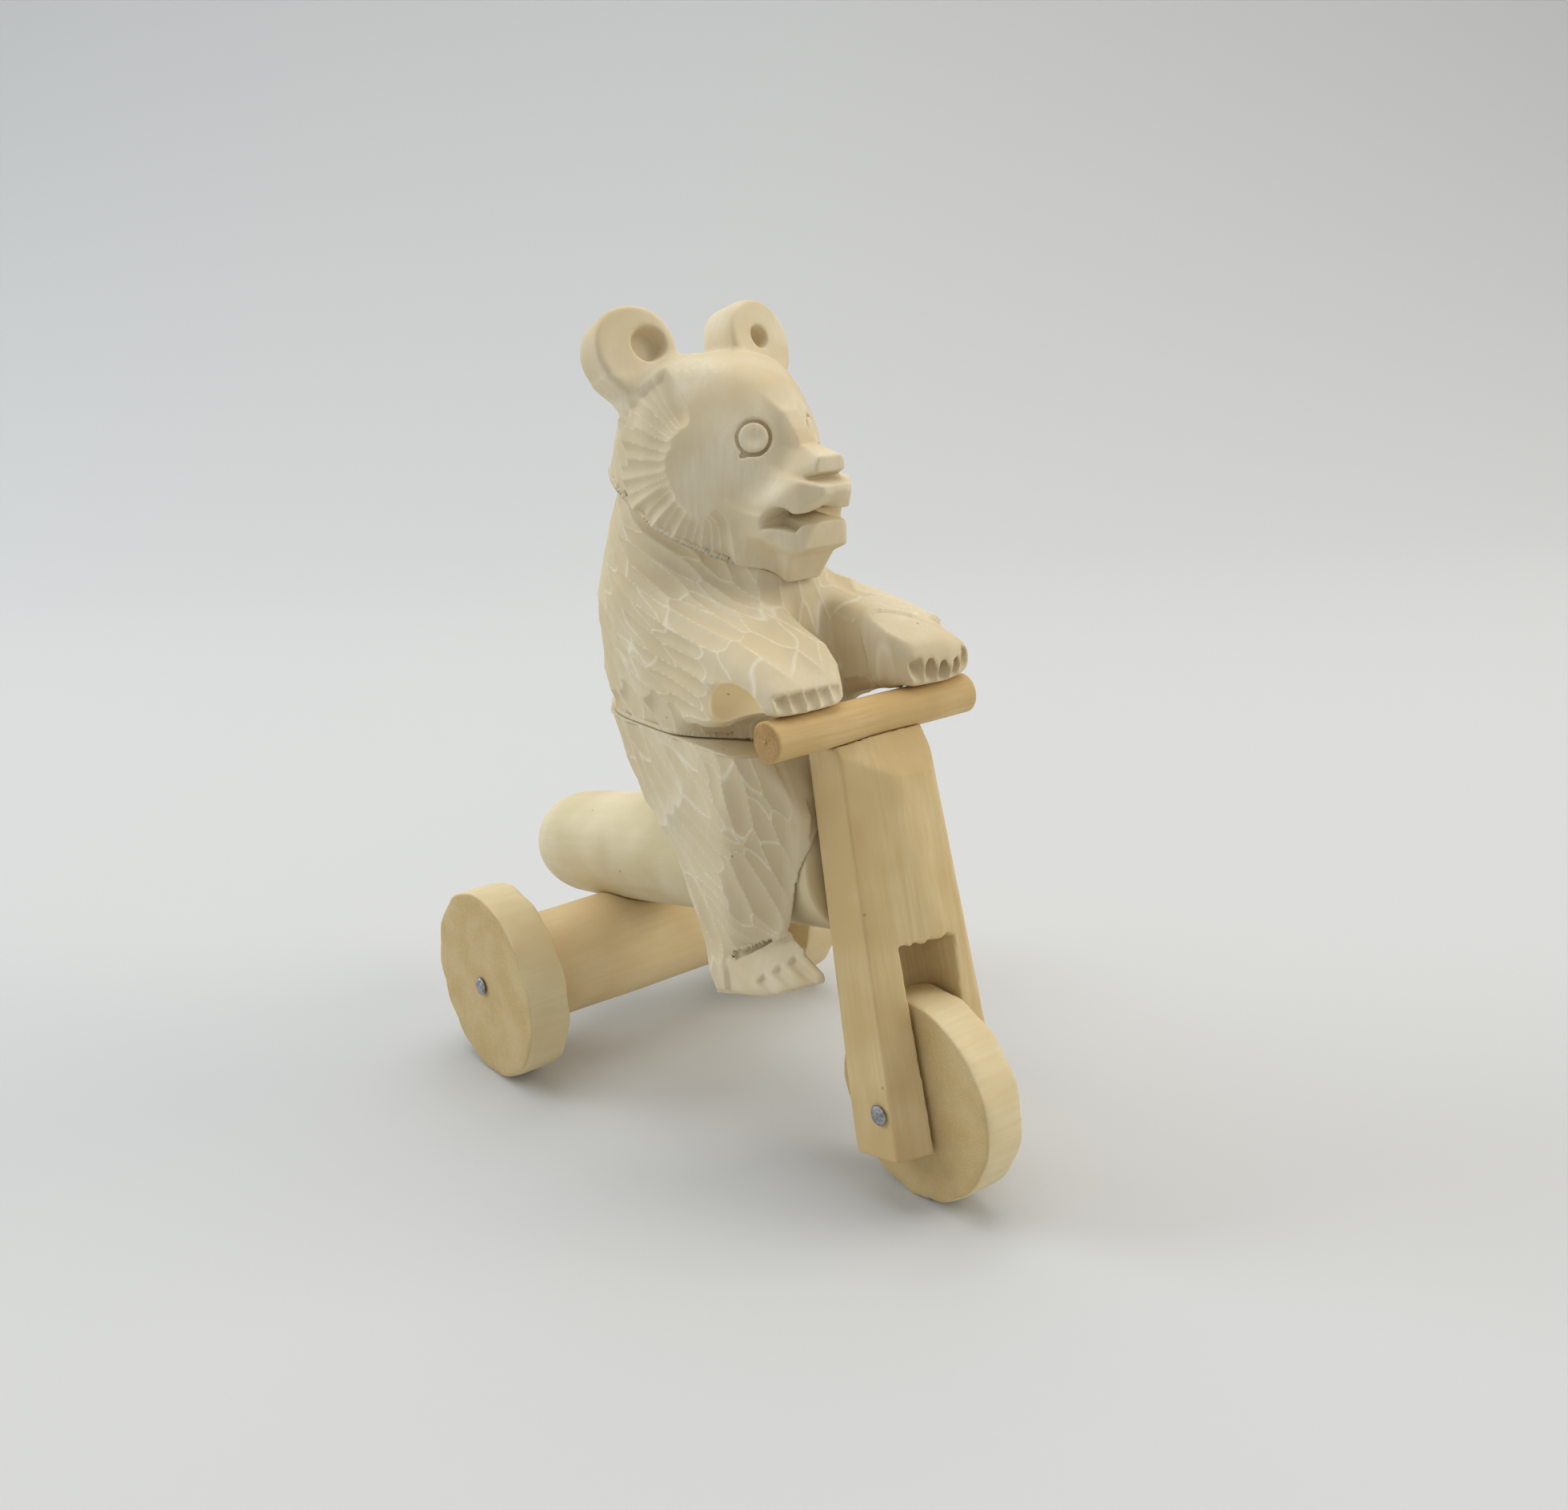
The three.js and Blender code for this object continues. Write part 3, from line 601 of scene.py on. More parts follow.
def mane(rng):
    """A fan of narrow gouge cuts round each cheek, from behind the eye down to the chin. Where the fan
    meets the seam under the head the cuts end at it."""
    cuts = []
    for side, mirror in MIRROR.items():
        heart = MANE_HEART * mirror
        above_neck = heart[2] - NECK_Z - NECK_SLOPE * heart[1]
        for turn in np.arange(-52, 112, 8.2):
            angle = math.radians(turn + rng.normal(0, 1.2))
            out = np.array([0, math.cos(angle), -math.sin(angle)])
            closing = NECK_SLOPE * out[1] - out[2]
            end = MANE_START + 2 * MANE_REACH * rng.uniform(0.85, 1.1)
            if closing > 0:
                end = min(end, above_neck / closing - 0.3)
            cuts.append((heart + out * (MANE_START + end) / 2, out + np.array([side * 0.1, 0, 0]),
                         2.4 + rng.normal(0, 0.12), (end - MANE_START) / 2, 1.6))
    return cuts


def head_still(points, normals):
    y, z = points[:, 1], points[:, 2]
    bottom = (z < NECK_Z + NECK_SLOPE * y + 0.6) & (normals[:, 2] < -0.6)
    eyes = np.min([np.linalg.norm(points - EYE * mirror, axis=1) for mirror in MIRROR.values()], axis=0)
    calm = np.clip((from_ears(points) - 9.5) / 1.5, 0, 1) * np.clip((eyes - 4.2) / 1.5, 0, 1)
    return np.where(bottom, 0, calm * np.clip((y + 24) / 3, 0, 1))


# ------------------------ bear: torso and arms
# The back of each paw in side view. The left one lies higher on the bar than the right one.
PAW = {-1: [(-27, 106.6), (-34, 104.2), (-39.5, 100.4), (-42.6, 96.8), (-42.4, 94.6)],
       1: [(-28, 107.5), (-37, 105.6), (-41.5, 102.6), (-43.9, 98.4), (-43.6, 94.6)]}
CLAW_NICKS, CLAW_PITCH = 5, 3.0
CLAW_START, CLAW_REACH = {-1: -43.4, 1: -44.0}, {-1: 3.2, 1: 4.4}
HOLLOW, HOLLOW_RADII = (24.4, -31.0, 93.4), (5.4, 7.6, 5.4)


def arm(block, side):
    """A forearm with its paw, whose front edge is nicked with a small gouge between the claws."""
    reach = area(block.y, block.z, rounded([
        (8, 113), (-10, 111.6), (-20, 109.2), *PAW[side],
        (-36, 93.6), (-28, 91.5), (-20, 88.0), (-6, 86), (8, 90)]))
    plan = area(block.x, block.y, [(side * a, b) for a, b in [
        (3, 10), (21.5, 10), (22.4, -10), (24.2, -30), (23.2, -41.5), (17, -45), (8, -43.2), (6, -38)]])
    slope = block.knife((side * 12, 4, 115), (side * 24, 4, 109.5), (side * 12, -40, 106.2), (0, 0, 90))
    limb = common(common(reach, plan, 3), slope, 3)
    for i in range(CLAW_NICKS):
        nick = (side * (9.2 + CLAW_PITCH * i), CLAW_START[side] + 0.2 * i, 95.4)
        limb = without(limb, block.stub(nick, (0, 0.7, 1), 1.3, CLAW_REACH[side]), 0.5)
    return limb


def hollow_share(points):
    """1 in the gouged hollow under either forearm and 0 away from it. It keeps strokes out of the hollow and
    places painted warm shade there.
    """
    mirrored = np.column_stack([np.abs(points[:, 0]), points[:, 1:]])
    away = np.linalg.norm((mirrored - HOLLOW) / HOLLOW_RADII, axis=1)
    return np.clip((1.12 - away) / 0.08, 0, 1)


def torso_shape(block):
    trunk = area(block.y, block.z, [
        (40, 80), (40, 140), (-12, 124), (-18, 116), (-22, 108), (-24, 100), (-25, 90), (-24.5, 80)])
    front = area(block.x, block.z, both([(-18, 136), (-20, 124), (-22, 112), (-22.2, 95), (-21.7, 78)]))
    whole = common(common(trunk, front, 4), block.ball((0, 2, 92), (25.1, 29.9, 56)), 2)
    # The back tapers to the waist in three flat cuts, and the chest in two.
    whole = common(whole, block.slab((0, 28.0, WAIST_Z), (0, 1, -0.22)), 4)
    for side in (-1, 1):
        whole = common(whole, block.slab((side * 13, 27, WAIST_Z), (side * 0.83, 0.555, -0.18)), 4)
        chest = block.knife((side * 21, 0, 112), (side * 5, -20.4, 112), (side * 12.2, -22, 84), (0, 0, 100))
        whole = common(whole, chest, 4)
    for side, mirror in MIRROR.items():
        whole = joined(whole, arm(block, side), 3)
        # A gouged hollow parts the underside of the forearm from the belly.
        whole = without(whole, block.ball(HOLLOW * mirror, HOLLOW_RADII), 0.6)
    whole = common(whole, block.slab((0, 0, NECK_Z - SEAM_GAP), (0, -NECK_SLOPE, 1)), 0.5)
    whole = common(whole, block.slab((0, 0, WAIST_Z + SEAM_GAP), (0, 0, -1)), 0.5)
    return cut_fittings(block, whole, [
        ((0, 2, WAIST_Z), (0, 0, 1)), ((0, 0, NECK_Z), (0, -NECK_SLOPE, 1))])


def fork_blank(block):
    """The fork's outer form in toy coordinates, grown by the room it needs."""
    y, z = block.y - FRONT_AXLE[1], block.z - FRONT_AXLE[2]
    v = y * math.cos(RAKE) - z * math.sin(RAKE)
    w = y * math.sin(RAKE) + z * math.cos(RAKE)
    width = np.abs(block.x) - FORK_HALF + (w - FORK_FOOT) * FORK_TAPER
    return np.maximum(area(v, w, FORK_PROFILE), width) - FORK_ROOM


def cut_fittings(block, whole, pegs):
    """Room for the fork, the handlebar and the hidden pegs."""
    bar = block.rod(HANDLEBAR, (1, 0, 0), HANDLEBAR_RADIUS + HANDLEBAR_ROOM)
    return drilled(whole, bar, fork_blank(block), *(block.peg_bore(*peg) for peg in pegs))


def torso_field(point, normal, rng):
    """Strokes that follow the arm, run down the chest and slant down the back."""
    x, y, z = point
    side = 1 if x > 0 else -1
    jitter = rng.normal(0, 0.06, 3)
    if z < WAIST_Z + 1 and normal[2] < -0.5:
        return None
    if z > NECK_Z + NECK_SLOPE * y - 1 and normal[2] > 0.8:
        return None
    if y < -15 and abs(x) < 12 and z > 88:
        return (np.array([0.1 * side, 0, -1]) + jitter, 4.5, 9, 9)
    if y < -20:
        return (np.array([0, -1, -0.3]) + jitter, 5.5, 8, 8)
    if z < 91:
        return (np.array([-side * 0.3, -1.0, -0.6]) + jitter, 6.4, 5.0, 6)
    steep = np.interp(y, [-14, 0, 12, 22], [0.1, 0.35, 0.9, 1.5])
    return (np.array([side * 0.6 if y > 14 else 0, -1, -steep]) + jitter, rng.uniform(2.8, 3.5), 11, 2.4)


def torso_still(points, normals):
    y, z = points[:, 1], points[:, 2]
    flat = ((z < WAIST_Z + 0.6) & (normals[:, 2] < -0.6)) | (
        (z > NECK_Z + NECK_SLOPE * y - 0.6) & (normals[:, 2] > 0.8))
    paw = np.clip((y + 41) / 3, 0, 1)
    return np.where(flat, 0, paw) * (1 - hollow_share(points))


# ------------------------ bear: legs
TOE_GROOVES = 4
LEG_INNER = 12.6  # from the middle to the inner side of either leg


def one_leg(block, blank, side):
    """The legs' block with its back cut on one side, and that half cut to a shin and a foot with toes."""
    def cut(a, b, c, kept=(14, -12, 60)):
        return block.knife(*(MIRROR[side] * p for p in (a, b, c, kept)))

    back = cut((13, 28, 84), (22, 14.5, 84), (20.6, -14.5, 32))
    shin = cut((20.4, -24.8, 65.5), (20.4, -22.0, 42.4), (11.6, -34.4, 60))
    instep = cut((20, -22.2, 42.3), (11.6, -30.8, 49.3), (11.6, -38, 46.4), (14, -14, 36))
    corner = cut((20.6, -31, 44), (14.5, -40.4, 44), (20.6, -31, 30))
    blank = common(blank, back, 2)
    foot = common(common(blank, instep, 0.8), corner, 2.0)
    whole = joined(common(blank, shin, 1.5), foot, 0.3)
    ankle = np.array([side * 20, -22.3, 42.5])
    crease = np.array([side * 11.6, -31.0, 49.5]) - ankle
    whole = without(whole, np.maximum(block.rod(ankle, crease, 0.7), -block.slab(ankle, crease)), 0.3)
    for i in range(TOE_GROOVES):
        toe = (side * (19.4 - 2.2 * i), -32.5 - 2.0 * i, 39.3 + 1.9 * i)
        whole = without(whole, block.stub(toe, (0, 1, 0.4), 1.0, 3.4), 0.5)
    return np.where(side * block.x > 0, whole, blank)


def lower_shape(block):
    side_view = area(block.y, block.z, [
        (28.5, 86), (28, 84), (20, 77), (12, 71), (2, 65.5), (-5, 59), (-8.6, 49), (-14.5, 32.2),
        (-33.4, 38), (-40.8, 41.5), (-40.6, 44.9), (-34.4, 48.1), (-30.7, 49.2), (-33.2, 57), (-35.1, 63),
        (-35.6, 72), (-29, 84), (-28, 86)])
    front_view = area(block.x, block.z, both([(-21.7, 88), (-22.2, 72), (-20.8, 45), (-20, 26)]))
    whole = common(side_view, front_view, 1.6)
    for side in (-1, 1):
        whole = one_leg(block, whole, side)
    # The legs straddle the log: round above its middle, and straight down from there.
    along = block.rod(LOG_TAIL, LOG_ALONG, LOG_RADIUS + 0.1)
    under = block.slab(LOG_TAIL, (0, math.sin(RAKE), math.cos(RAKE)))
    under = np.maximum(np.abs(block.x) - LEG_INNER, under)
    whole = common(whole, -np.minimum(along, under), 0.4)
    whole = common(whole, block.slab((0, 0, WAIST_Z - SEAM_GAP), (0, 0, 1)), 0.5)
    return cut_fittings(block, whole, [((0, 2, WAIST_Z), (0, 0, 1))])


def lower_field(point, normal, rng):
    """Strokes down the front of the legs, and slanting down and forward on the sides and the seat."""
    x, y, z = point
    side = 1 if x > 0 else -1
    jitter = rng.normal(0, 0.06, 3)
    if z > WAIST_Z - 1 and normal[2] > 0.5:
        return None
    if abs(x) < 13.2 and z < 62:
        return None
    if z < 49 and y < -22:
        return None
    if y < -22 or abs(x) < 17 and y < 0:
        return (np.array([-side * 0.3, -0.3, -1]) + 2 * jitter, rng.uniform(3.4, 4.4), 8.5, 4)
    back = -8 + (z - 45) * 0.75
    steep = np.interp(y - back, [-18, -2], [0.72, 1.85])
    return (np.array([0, -1, -steep]) + jitter, rng.uniform(2.7, 3.5), 9.5, 2.8)


def lower_still(points, normals):
    x, y, z = points.T
    top = (z > WAIST_Z - 0.6) & (normals[:, 2] > 0.6)
    hidden = (np.abs(x) < 12.9) & (z < 62)
    sole = normals[:, 2] < -0.85
    foot = (z < 49) & (y < -20.5) & (z < 44.5 - 0.83 * (np.abs(x) - 17.5))
    inner = np.clip((np.abs(x) - LEG_INNER) / 2.0, 0, 1)
    return np.where(top | hidden | sole | foot, 0, np.where((z < 62) | (y < -20), inner, 1))


def make_bear():
    rng = np.random.default_rng(SEED)
    head = Block((-25, -36, 108), (25, 26, 164.5), GRID)
    carved_piece("carved_head", head, head_shape(head), head_field, head_still, "bear_head", rng,
                 extra=mane(rng), raised=0.0)
    torso = Block((-27, -46, 82), (27, 35, 135), GRID)
    # The hollow under each forearm gets the end-grain colour as painted warm shade.
    carved_piece("carved_torso", torso, torso_shape(torso), torso_field, torso_still, "bear_torso", rng,
                 end_grain_and_painted_shade=hollow_share)
    lower = Block((-24, -43.5, 30), (24, 31, 86), GRID)
    carved_piece("carved_legs", lower, lower_shape(lower), lower_field, lower_still, "bear_lower_body", rng,
                 raised=0.6)


# ------------------------ tricycle frame
IN_RAKE = (FRONT_AXLE, RAKED)
LOG_PLACE = (LOG_TAIL, np.array([[1, 0, 0], np.cross(LOG_ALONG, (1, 0, 0)), LOG_ALONG]).T)
LOG_HEIGHT = float((RAKED.T @ (LOG_TAIL - FRONT_AXLE))[2])  # up the fork from the front axle
NAIL_HOLE = 1.15
SLOT_HALF, SLOT_TOP = 5.5, 30
TAIL_CUTS = 8  # knife cuts round the log's tail
BEAM_NAIL_REACH = 31
AXLE_NAIL_END = 12.7
NAIL_SINK, NAIL_HEAD_HOLE = 2.0, 2.15


def waves(*terms):
    """A gentle, repeatable unevenness from -1 to 1."""
    return sum(np.sin(t) for t in terms) / len(terms)


def planed_piece(name, block, shape, material, node, place=((0, 0, 0), np.identity(3))):
    """Skins a shape that is given about its own origin and turned, and sets it in its place."""
    points, quads = surface(block, shape)
    origin, turn = place
    new_mesh(name, points @ turn.T + origin, quads, material, [node])


def fork_shape(block):
    x, y, z = block.axes
    face = area(x, z, both([(-FORK_HALF, FORK_FOOT), (-FORK_TOP_HALF, FORK_TOP)]))
    whole = common(area(y, z, FORK_PROFILE), face, 0.6)
    kept = (0, 0, 30)
    # One corner is planed off broadly, and the other three are just broken.
    broad = block.knife((-FORK_TOP_HALF, -2, FORK_TOP), (-FORK_HALF, -3, FORK_FOOT), (-2, -5, FORK_TOP), kept)
    whole = common(whole, broad, 0.5)
    for sx, sy, depth in ((1, -1, 5), (1, 1, 8), (-1, 1, 8)):
        whole = common(whole, block.knife(
            (sx * FORK_TOP_HALF, sy * (depth - 1.3), FORK_TOP), (sx * 8.5, sy * depth, FORK_TOP),
            (sx * FORK_HALF, sy * (depth + 0.5), FORK_FOOT), kept), 0.4)
    # The slot is sawn up from below and chopped off with a small chisel.
    ragged = SLOT_TOP + 0.5 * waves(1.9 * x + 1, 3.1 * x + 0.7 * y, 1.3 * y)
    ragged = ragged + 0.35 * np.abs(np.sin(1.1 * x + 0.5))
    slot = np.maximum(np.abs(x) - SLOT_HALF - 0.08 * waves(0.9 * z, 2.1 * z + y), z - ragged)
    whole = without(whole, slot, 0.35)
    # Two knife cuts thin the top of the front for the handlebar; they meet in a low point.
    low, high = (-1.2, -5.9, 60.3), (-1.2, -1.9, FORK_TOP)
    whole = common(whole, block.knife(low, (-7.0, -4.2, 65.0), high, kept), 0.2)
    whole = common(whole, block.knife(low, (9.4, -5.1, 66.5), high, kept), 0.2)
    groove = block.rod((0, 0, HANDLEBAR_ALONG), (1, 0, 0), HANDLEBAR_RADIUS + 0.1)
    groove = groove - 0.22 * np.maximum(waves(2.3 * x, 4.1 * x + 1, 6.7 * x + 2, 1.7 * x + 3), 0)
    return drilled(whole, groove, block.rod((0, 0, 0), (1, 0, 0), NAIL_HOLE),
                   block.peg_bore((0, FORK_BACK, LOG_HEIGHT), (0, 1, 0)))


def log_shape(block):
    x, y, z = block.axes
    reach = np.sqrt(x * x + y * y) + 0.12 * waves(0.3 * x + 0.05 * z, 0.4 * y + 0.08 * z)
    # Of the tail's curve only the part from the log's middle outwards is used.
    tail = rounded([(-4.6, 0.9), (0, 0.3), (4.6, 0.9), (8.4, 3.2), (10.8, 8.0), (12.0, 14), (12.3, 22)])
    whole = area(reach, z, tail[CURVE_STEPS:5 * CURVE_STEPS + 1] + [
        (LOG_RADIUS, 22), (LOG_RADIUS, LOG_LENGTH), (-2, LOG_LENGTH), (-2, -0.1)])
    for turn in np.linspace(0.3, 2 * math.pi, TAIL_CUTS + 1)[:-1]:
        lean = 0.75 + 0.2 * math.sin(3 * turn)
        facing = np.array([math.cos(turn) * math.sin(lean), math.sin(turn) * math.sin(lean), -math.cos(lean)])
        contact = np.array([math.cos(turn) * 9.1, math.sin(turn) * 9.1, 3.0])
        whole = common(whole, block.slab(contact, facing), 0.5)
    nail = LOG_PLACE[1].T @ (REAR_AXLE - np.array([0, 0, BEAM_RADIUS]) - LOG_TAIL)
    up = LOG_PLACE[1].T @ np.array([0, 0, 1.0])
    shaft = np.maximum(block.rod(nail, up, NAIL_HOLE), block.slab(nail + up * BEAM_NAIL_REACH, up))
    return drilled(whole, shaft, block.peg_bore((0, 0, LOG_LENGTH), (0, 0, 1)))


def beam_shape(block):
    x, y, z = block.axes
    end = half_size("rear_axle_beam")[0]
    reach = np.sqrt((y - REAR_AXLE[1]) ** 2 + (z - REAR_AXLE[2]) ** 2)
    round_side = reach - BEAM_RADIUS + 0.1 + 0.1 * waves(0.21 * x, 0.13 * x + 0.3 * y)
    whole = common(round_side, np.abs(x) - end, 0.8)
    whole = without(whole, block.rod(LOG_TAIL, LOG_ALONG, LOG_RADIUS + 0.12), 0.5)
    nails = np.maximum(block.rod(REAR_AXLE, (1, 0, 0), NAIL_HOLE), AXLE_NAIL_END - np.abs(x))
    # The nail from below is countersunk.
    low = REAR_AXLE + np.array([0, 0, NAIL_SINK - BEAM_RADIUS])
    sink = np.maximum(block.rod(low, (0, 0, 1), NAIL_HEAD_HOLE), z - low[2])
    return drilled(whole, nails, block.rod(low, (0, 0, 1), NAIL_HOLE), sink)


def ring_mesh(profile, segments, shaped):
    """A turned piece about +X. shaped(radius, along, angle) may push each ring's points about."""
    angle = np.arange(segments) * 2 * math.pi / segments
    r, h = np.array(profile, float).T
    radius, along, turn = np.broadcast_arrays(r[:, None], h[:, None], angle[None, :])
    radius, along = shaped(radius.copy(), along.copy(), turn)
    points = np.stack([along, -radius * np.sin(turn), -radius * np.cos(turn)], -1).reshape(-1, 3)
    ring, spoke = np.meshgrid(np.arange(len(profile) - 1), np.arange(segments), indexing="ij")
    beyond = (spoke + 1) % segments
    quads = np.stack([ring * segments + spoke, ring * segments + beyond,
                      (ring + 1) * segments + beyond, (ring + 1) * segments + spoke], -1)
    return points, quads.reshape(-1, 4)


def finely(profile, pitch):
    """The same profile with points no more than pitch mm apart."""
    made = []
    for a, b in zip(profile, profile[1:]):
        count = max(1, math.ceil(math.dist(a, b) / pitch))
        made += [tuple(np.array(a) + (np.array(b) - np.array(a)) * i / count) for i in range(count)]
    return made + [profile[-1]]


def end_share(points, quads):
    """1 where the surface is cut across the X axis, 0 along it."""
    return np.clip((np.abs(normals_of(points, quads)[:, 0]) - 0.6) / 0.25, 0, 1)


WHEEL_BORE, WHEEL_EDGE = 1.1, 0.55
RIM_REACH, EDGE_REACH = 2.2, 1.6  # how far the knife work goes in from the rim and from the face
FLATS, FLAT_DEPTH, NICK_DEPTH = 13, 0.35, 0.9


def make_wheel(node, phase):
    """A sawn disc. Its rim is trimmed with a knife, so the edges run in short flats with a few nicks.
    It stays round where it stands on the ground."""
    radius, half = half_size(node)[2], half_size(node)[0]
    arc = np.linspace(0.3, 1.25, 4)
    profile = finely([(WHEEL_BORE, half), (radius - WHEEL_EDGE, half)], 0.8)
    profile += [(radius - WHEEL_EDGE * (1 - math.sin(a)), half - WHEEL_EDGE * (1 - math.cos(a))) for a in arc]
    profile += finely([(radius, half - WHEEL_EDGE), (radius, WHEEL_EDGE - half)], 0.7)
    profile += [(radius - WHEEL_EDGE * (1 - math.cos(a)), WHEEL_EDGE * (1 - math.sin(a)) - half) for a in arc]
    profile += finely([(radius - WHEEL_EDGE, -half), (WHEEL_BORE, -half), (WHEEL_BORE, half)], 0.8)

    def shaped(r, h, turn):
        flat = 1 - np.abs(((turn * FLATS + phase + np.sin(2 * turn + phase)) / math.pi) % 2 - 1)
        nick = np.maximum(0, waves(5 * turn + phase, 11 * turn + 2 * phase, 23 * turn) - 0.55)
        rim = np.clip((r - radius + RIM_REACH) / RIM_REACH, 0, 1) ** 2
        edge = np.clip((np.abs(h) - half + EDGE_REACH) / EDGE_REACH, 0, 1) * rim
        r = r - edge * (FLAT_DEPTH * flat + NICK_DEPTH * nick)
        r = r - 0.10 * rim * (1 + np.sin(3 * turn + phase)) * (turn > 0.2) * (turn < 6.08)
        uneven = 0.12 * np.clip(r / radius, 0, 1) * (1 + waves(2 * turn + phase, 0.35 * r, 5 * turn))
        return r, h - np.sign(h) * (uneven + FLAT_DEPTH * edge * flat)

    points, quads = ring_mesh(profile, 240, shaped)
    new_mesh("whittled_" + node, points + middle(node) - TOY_SHIFT, quads, MATERIALS["wheel"],
             [node], {"end": end_share(points, quads)}, body=node)


def make_handlebar():
    """A round dowel, a little bent and sawn a little askew."""
    half = half_size("handlebar")[0]
    r = HANDLEBAR_RADIUS
    profile = finely([(0.01, half), (r - 0.4, half)], 0.5) + finely([(r, half - 0.35), (r, 0.35 - half)], 0.6)
    profile += finely([(r - 0.4, -half), (0.01, -half)], 0.5)

    def shaped(radius, along, turn):
        bent = 1 - 0.012 * (1 + waves(0.31 * along + turn, 0.17 * along + 2 * turn))
        askew = 0.12 * (np.abs(along) > half - 0.3) * (1 + np.sin(turn))
        return radius * bent, along - np.sign(along) * askew

    points, quads = ring_mesh(profile, 72, shaped)
    new_mesh("turned_handlebar", points + HANDLEBAR, quads, MATERIALS["dowel"],
             ["handlebar"], {"end": end_share(points, quads)})


def make_nail(node):
    """A wire nail: a flattened, slightly dented head on a shank with a point."""
    low, high = (np.array(c) / MM - TOY_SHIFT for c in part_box(node))
    out = -1 if low[0] < 0 else 1
    head_x = low[0] if out < 0 else high[0]
    length = high[0] - low[0]
    profile = [(0.01, 0), (0.7, 0), (1.3, -0.05), (1.75, -0.2), (1.98, -0.42), (1.9, -0.72), (1.0, -0.8)]
    profile += finely([(1.0, -0.9), (1.0, 2.2 - length), (0.02, 0.2 - length)], 2.5)

    def shaped(r, h, turn):
        dent = 0.12 * np.exp(-((r * np.cos(turn) - 0.5) ** 2 + (r * np.sin(turn) + 0.2) ** 2) / 0.5)
        return r * (1 - 0.02 * np.sin(3 * turn)), h - 0.1 - dent * (h > -0.5)

    points, quads = ring_mesh(profile, 40, shaped)
    points[:, 0] *= out
    if out < 0:
        quads = quads[:, ::-1]
    centre = np.array([head_x, (low[1] + high[1]) / 2, (low[2] + high[2]) / 2])
    new_mesh("wire_" + node, points + centre, quads, MATERIALS["steel"], [node])


def make_tricycle():
    fork = Block((-13.6, -9.2, -10.2), (13.6, 11.6, 71.8), GRID)
    planed_piece("planed_fork", fork, fork_shape(fork), MATERIALS["fork"], "fork", IN_RAKE)
    log = Block((-13.5, -13.5, -1.5), (13.5, 13.5, LOG_LENGTH + 1.5), COARSE_GRID)
    planed_piece("peeled_log", log, log_shape(log), MATERIALS["log"], "frame_log", LOG_PLACE)
    room = np.array([33.5, 13.5, 13.5])
    beam = Block(REAR_AXLE - room, REAR_AXLE + room, COARSE_GRID)
    planed_piece("axle_beam", beam, beam_shape(beam), MATERIALS["beam"], "rear_axle_beam")
    for i, node in enumerate(("front_wheel", "rear_wheel_right", "rear_wheel_left")):
        make_wheel(node, i * 1.7)
    make_handlebar()
    for node in ("front_axle_nail", "rear_axle_nail_right", "rear_axle_nail_left"):
        make_nail(node)
    # The hidden pegs and the beam's nail keep their CAD shapes.
    for node, made_of in (("fork_dowel", "dowel"), ("waist_dowel", "dowel"), ("neck_dowel", "dowel"),
                          ("beam_nail", "steel")):
        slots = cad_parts[node].data.materials
        slots.clear()
        slots.append(MATERIALS[made_of])


# ------------------------ camera, floor and light
# The camera looks down on the bear's right front, from about a third of a metre.
VIEW_AZIMUTH = math.radians(-37.65)
VIEW_ELEVATION = math.radians(17.32)
VIEW_ROLL = math.radians(-1.92)
VIEW_DISTANCE = 335.46 * MM
LENS = 36.055
AIM_BEHIND_AXLE = 46.9 * MM
AIM_SIDE = 1.14 * MM
AIM_UP = 72.09 * MM


def make_camera():
    cos_e, sin_e = math.cos(VIEW_ELEVATION), math.sin(VIEW_ELEVATION)
    back = Vector((math.sin(VIEW_AZIMUTH) * cos_e, -math.cos(VIEW_AZIMUTH) * cos_e, sin_e))
    level = Vector((0, 0, 1)).cross(back).normalized()
    upright = back.cross(level)
    roll = Matrix.Rotation(VIEW_ROLL, 3, back)
    right, up = roll @ level, roll @ upright
    aim = Vector((0, middle("front_wheel")[1] * MM + AIM_BEHIND_AXLE, 0))
    place = aim + back * VIEW_DISTANCE + right * AIM_SIDE + up * AIM_UP
    data = bpy.data.cameras.new("camera")
    data.sensor_width = 36
    data.lens = LENS
    data.clip_start = 0.01
    camera = bpy.data.objects.new("camera", data)
    axes = Matrix((right, up, back)).transposed().to_4x4()
    camera.matrix_world = Matrix.Translation(place) @ axes
    bpy.context.scene.collection.objects.link(camera)
    bpy.context.scene.camera = camera


# The paper sweep, in metres from the toy's origin, measured towards the camera.
FLOOR_FRONT, FLOOR_HALF = 2.0, 4
SWEEP_START, SWEEP_RADIUS, SWEEP_TOP = -0.6, 0.9, 4
SKY = (0.95, 0.96, 0.98, 1)
SKY_STRENGTH = 0.43


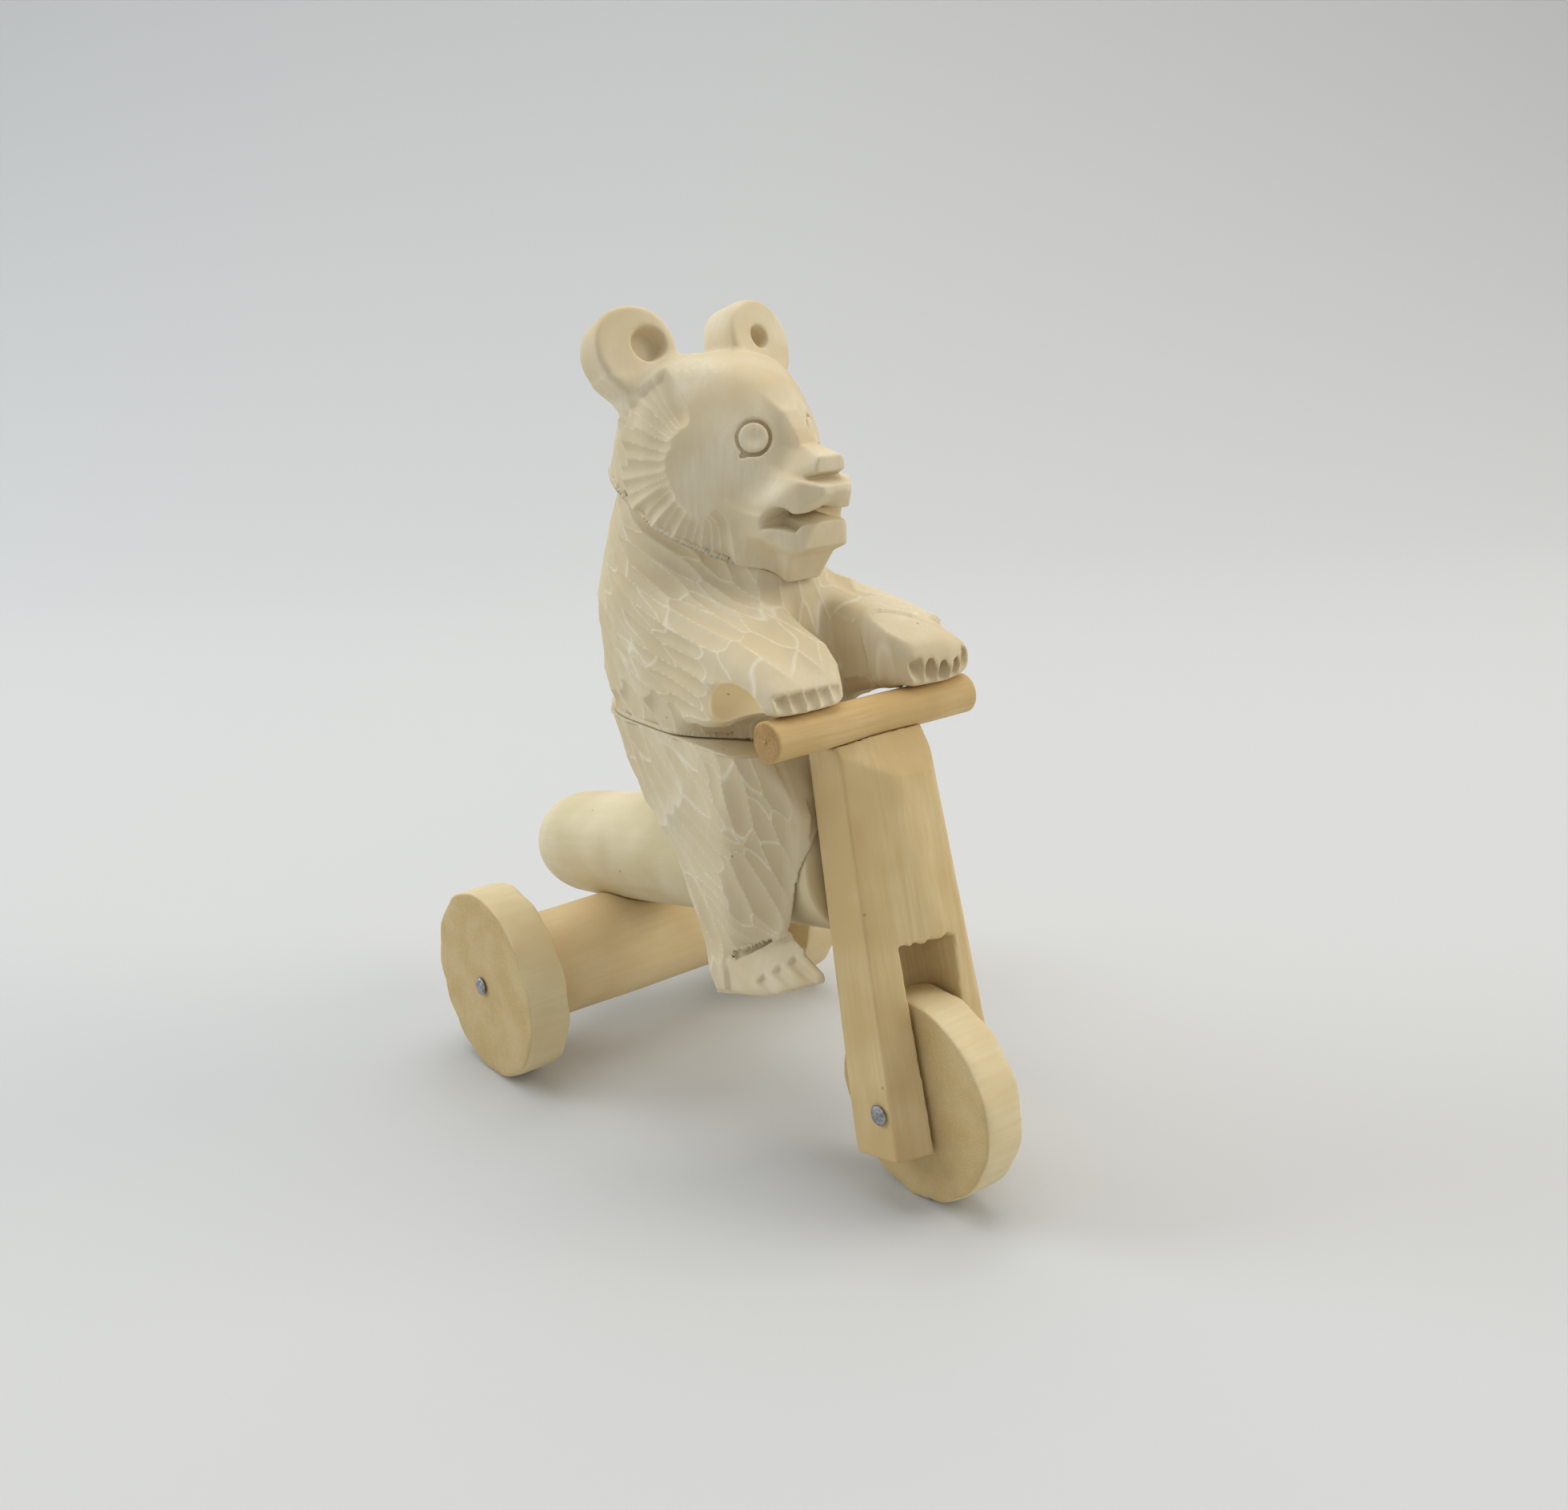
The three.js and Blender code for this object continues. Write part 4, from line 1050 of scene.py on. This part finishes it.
def make_floor():
    """A pale paper sweep: flat round the toy, curving up far behind it."""
    material, _, shader = new_material("paper")
    shader.inputs["Base Color"].default_value = (0.62, 0.63, 0.63, 1)
    shader.inputs["Roughness"].default_value = 0.9
    mesh = bpy.data.meshes.new("floor")
    back = Vector((math.sin(VIEW_AZIMUTH), -math.cos(VIEW_AZIMUTH), 0))
    side = Vector((-back.y, back.x, 0))
    verts, faces = [], []
    profile = [(FLOOR_FRONT, 0), (SWEEP_START, 0)]
    profile += [(SWEEP_START - SWEEP_RADIUS * math.sin(a), SWEEP_RADIUS - SWEEP_RADIUS * math.cos(a))
                for a in np.linspace(0.05, 1.5, 24)]
    profile.append((-1.6, SWEEP_TOP))
    for along, height in profile:
        for reach in (-FLOOR_HALF, FLOOR_HALF):
            verts.append(back * along + side * reach + Vector((0, 0, height)))
    for i in range(len(profile) - 1):
        faces.append((2 * i, 2 * i + 1, 2 * i + 3, 2 * i + 2))
    mesh.from_pydata(verts, [], faces)
    mesh.shade_smooth()
    mesh.materials.append(material)
    floor = bpy.data.objects.new("floor", mesh)
    bpy.context.scene.collection.objects.link(floor)


def area_light(name, place, aim, size, power, color):
    """A round soft light: place and aim in metres, size across in metres, power in watts."""
    data = bpy.data.lights.new(name, "AREA")
    data.shape = "DISK"
    data.size = size
    data.energy = power
    data.color = color
    light = bpy.data.objects.new(name, data)
    light.location = place
    light.rotation_euler = (Vector(aim) - Vector(place)).to_track_quat("-Z", "Y").to_euler()
    bpy.context.scene.collection.objects.link(light)


def make_light():
    world = bpy.data.worlds.new("world")
    world.use_nodes = True
    background = world.node_tree.nodes["Background"]
    background.inputs["Color"].default_value = SKY
    background.inputs["Strength"].default_value = SKY_STRENGTH
    bpy.context.scene.world = world
    area_light("overhead", (0.15, 0.2, 1.2), (0, 0, 0.06), 1.4, 9.0, (1, 0.98, 0.95))
    area_light("right_front", (1.05, -0.85, 0.8), (0, 0, 0.08), 1.0, 8.5, (1, 0.92, 0.78))
    area_light("left_back", (-0.95, 1.1, 0.75), (0, 0, 0.08), 1.0, 10.0, (0.88, 0.95, 1))
    bpy.context.scene.view_settings.view_transform = "Standard"


make_camera()
make_floor()
make_light()
make_bear()
make_tricycle()
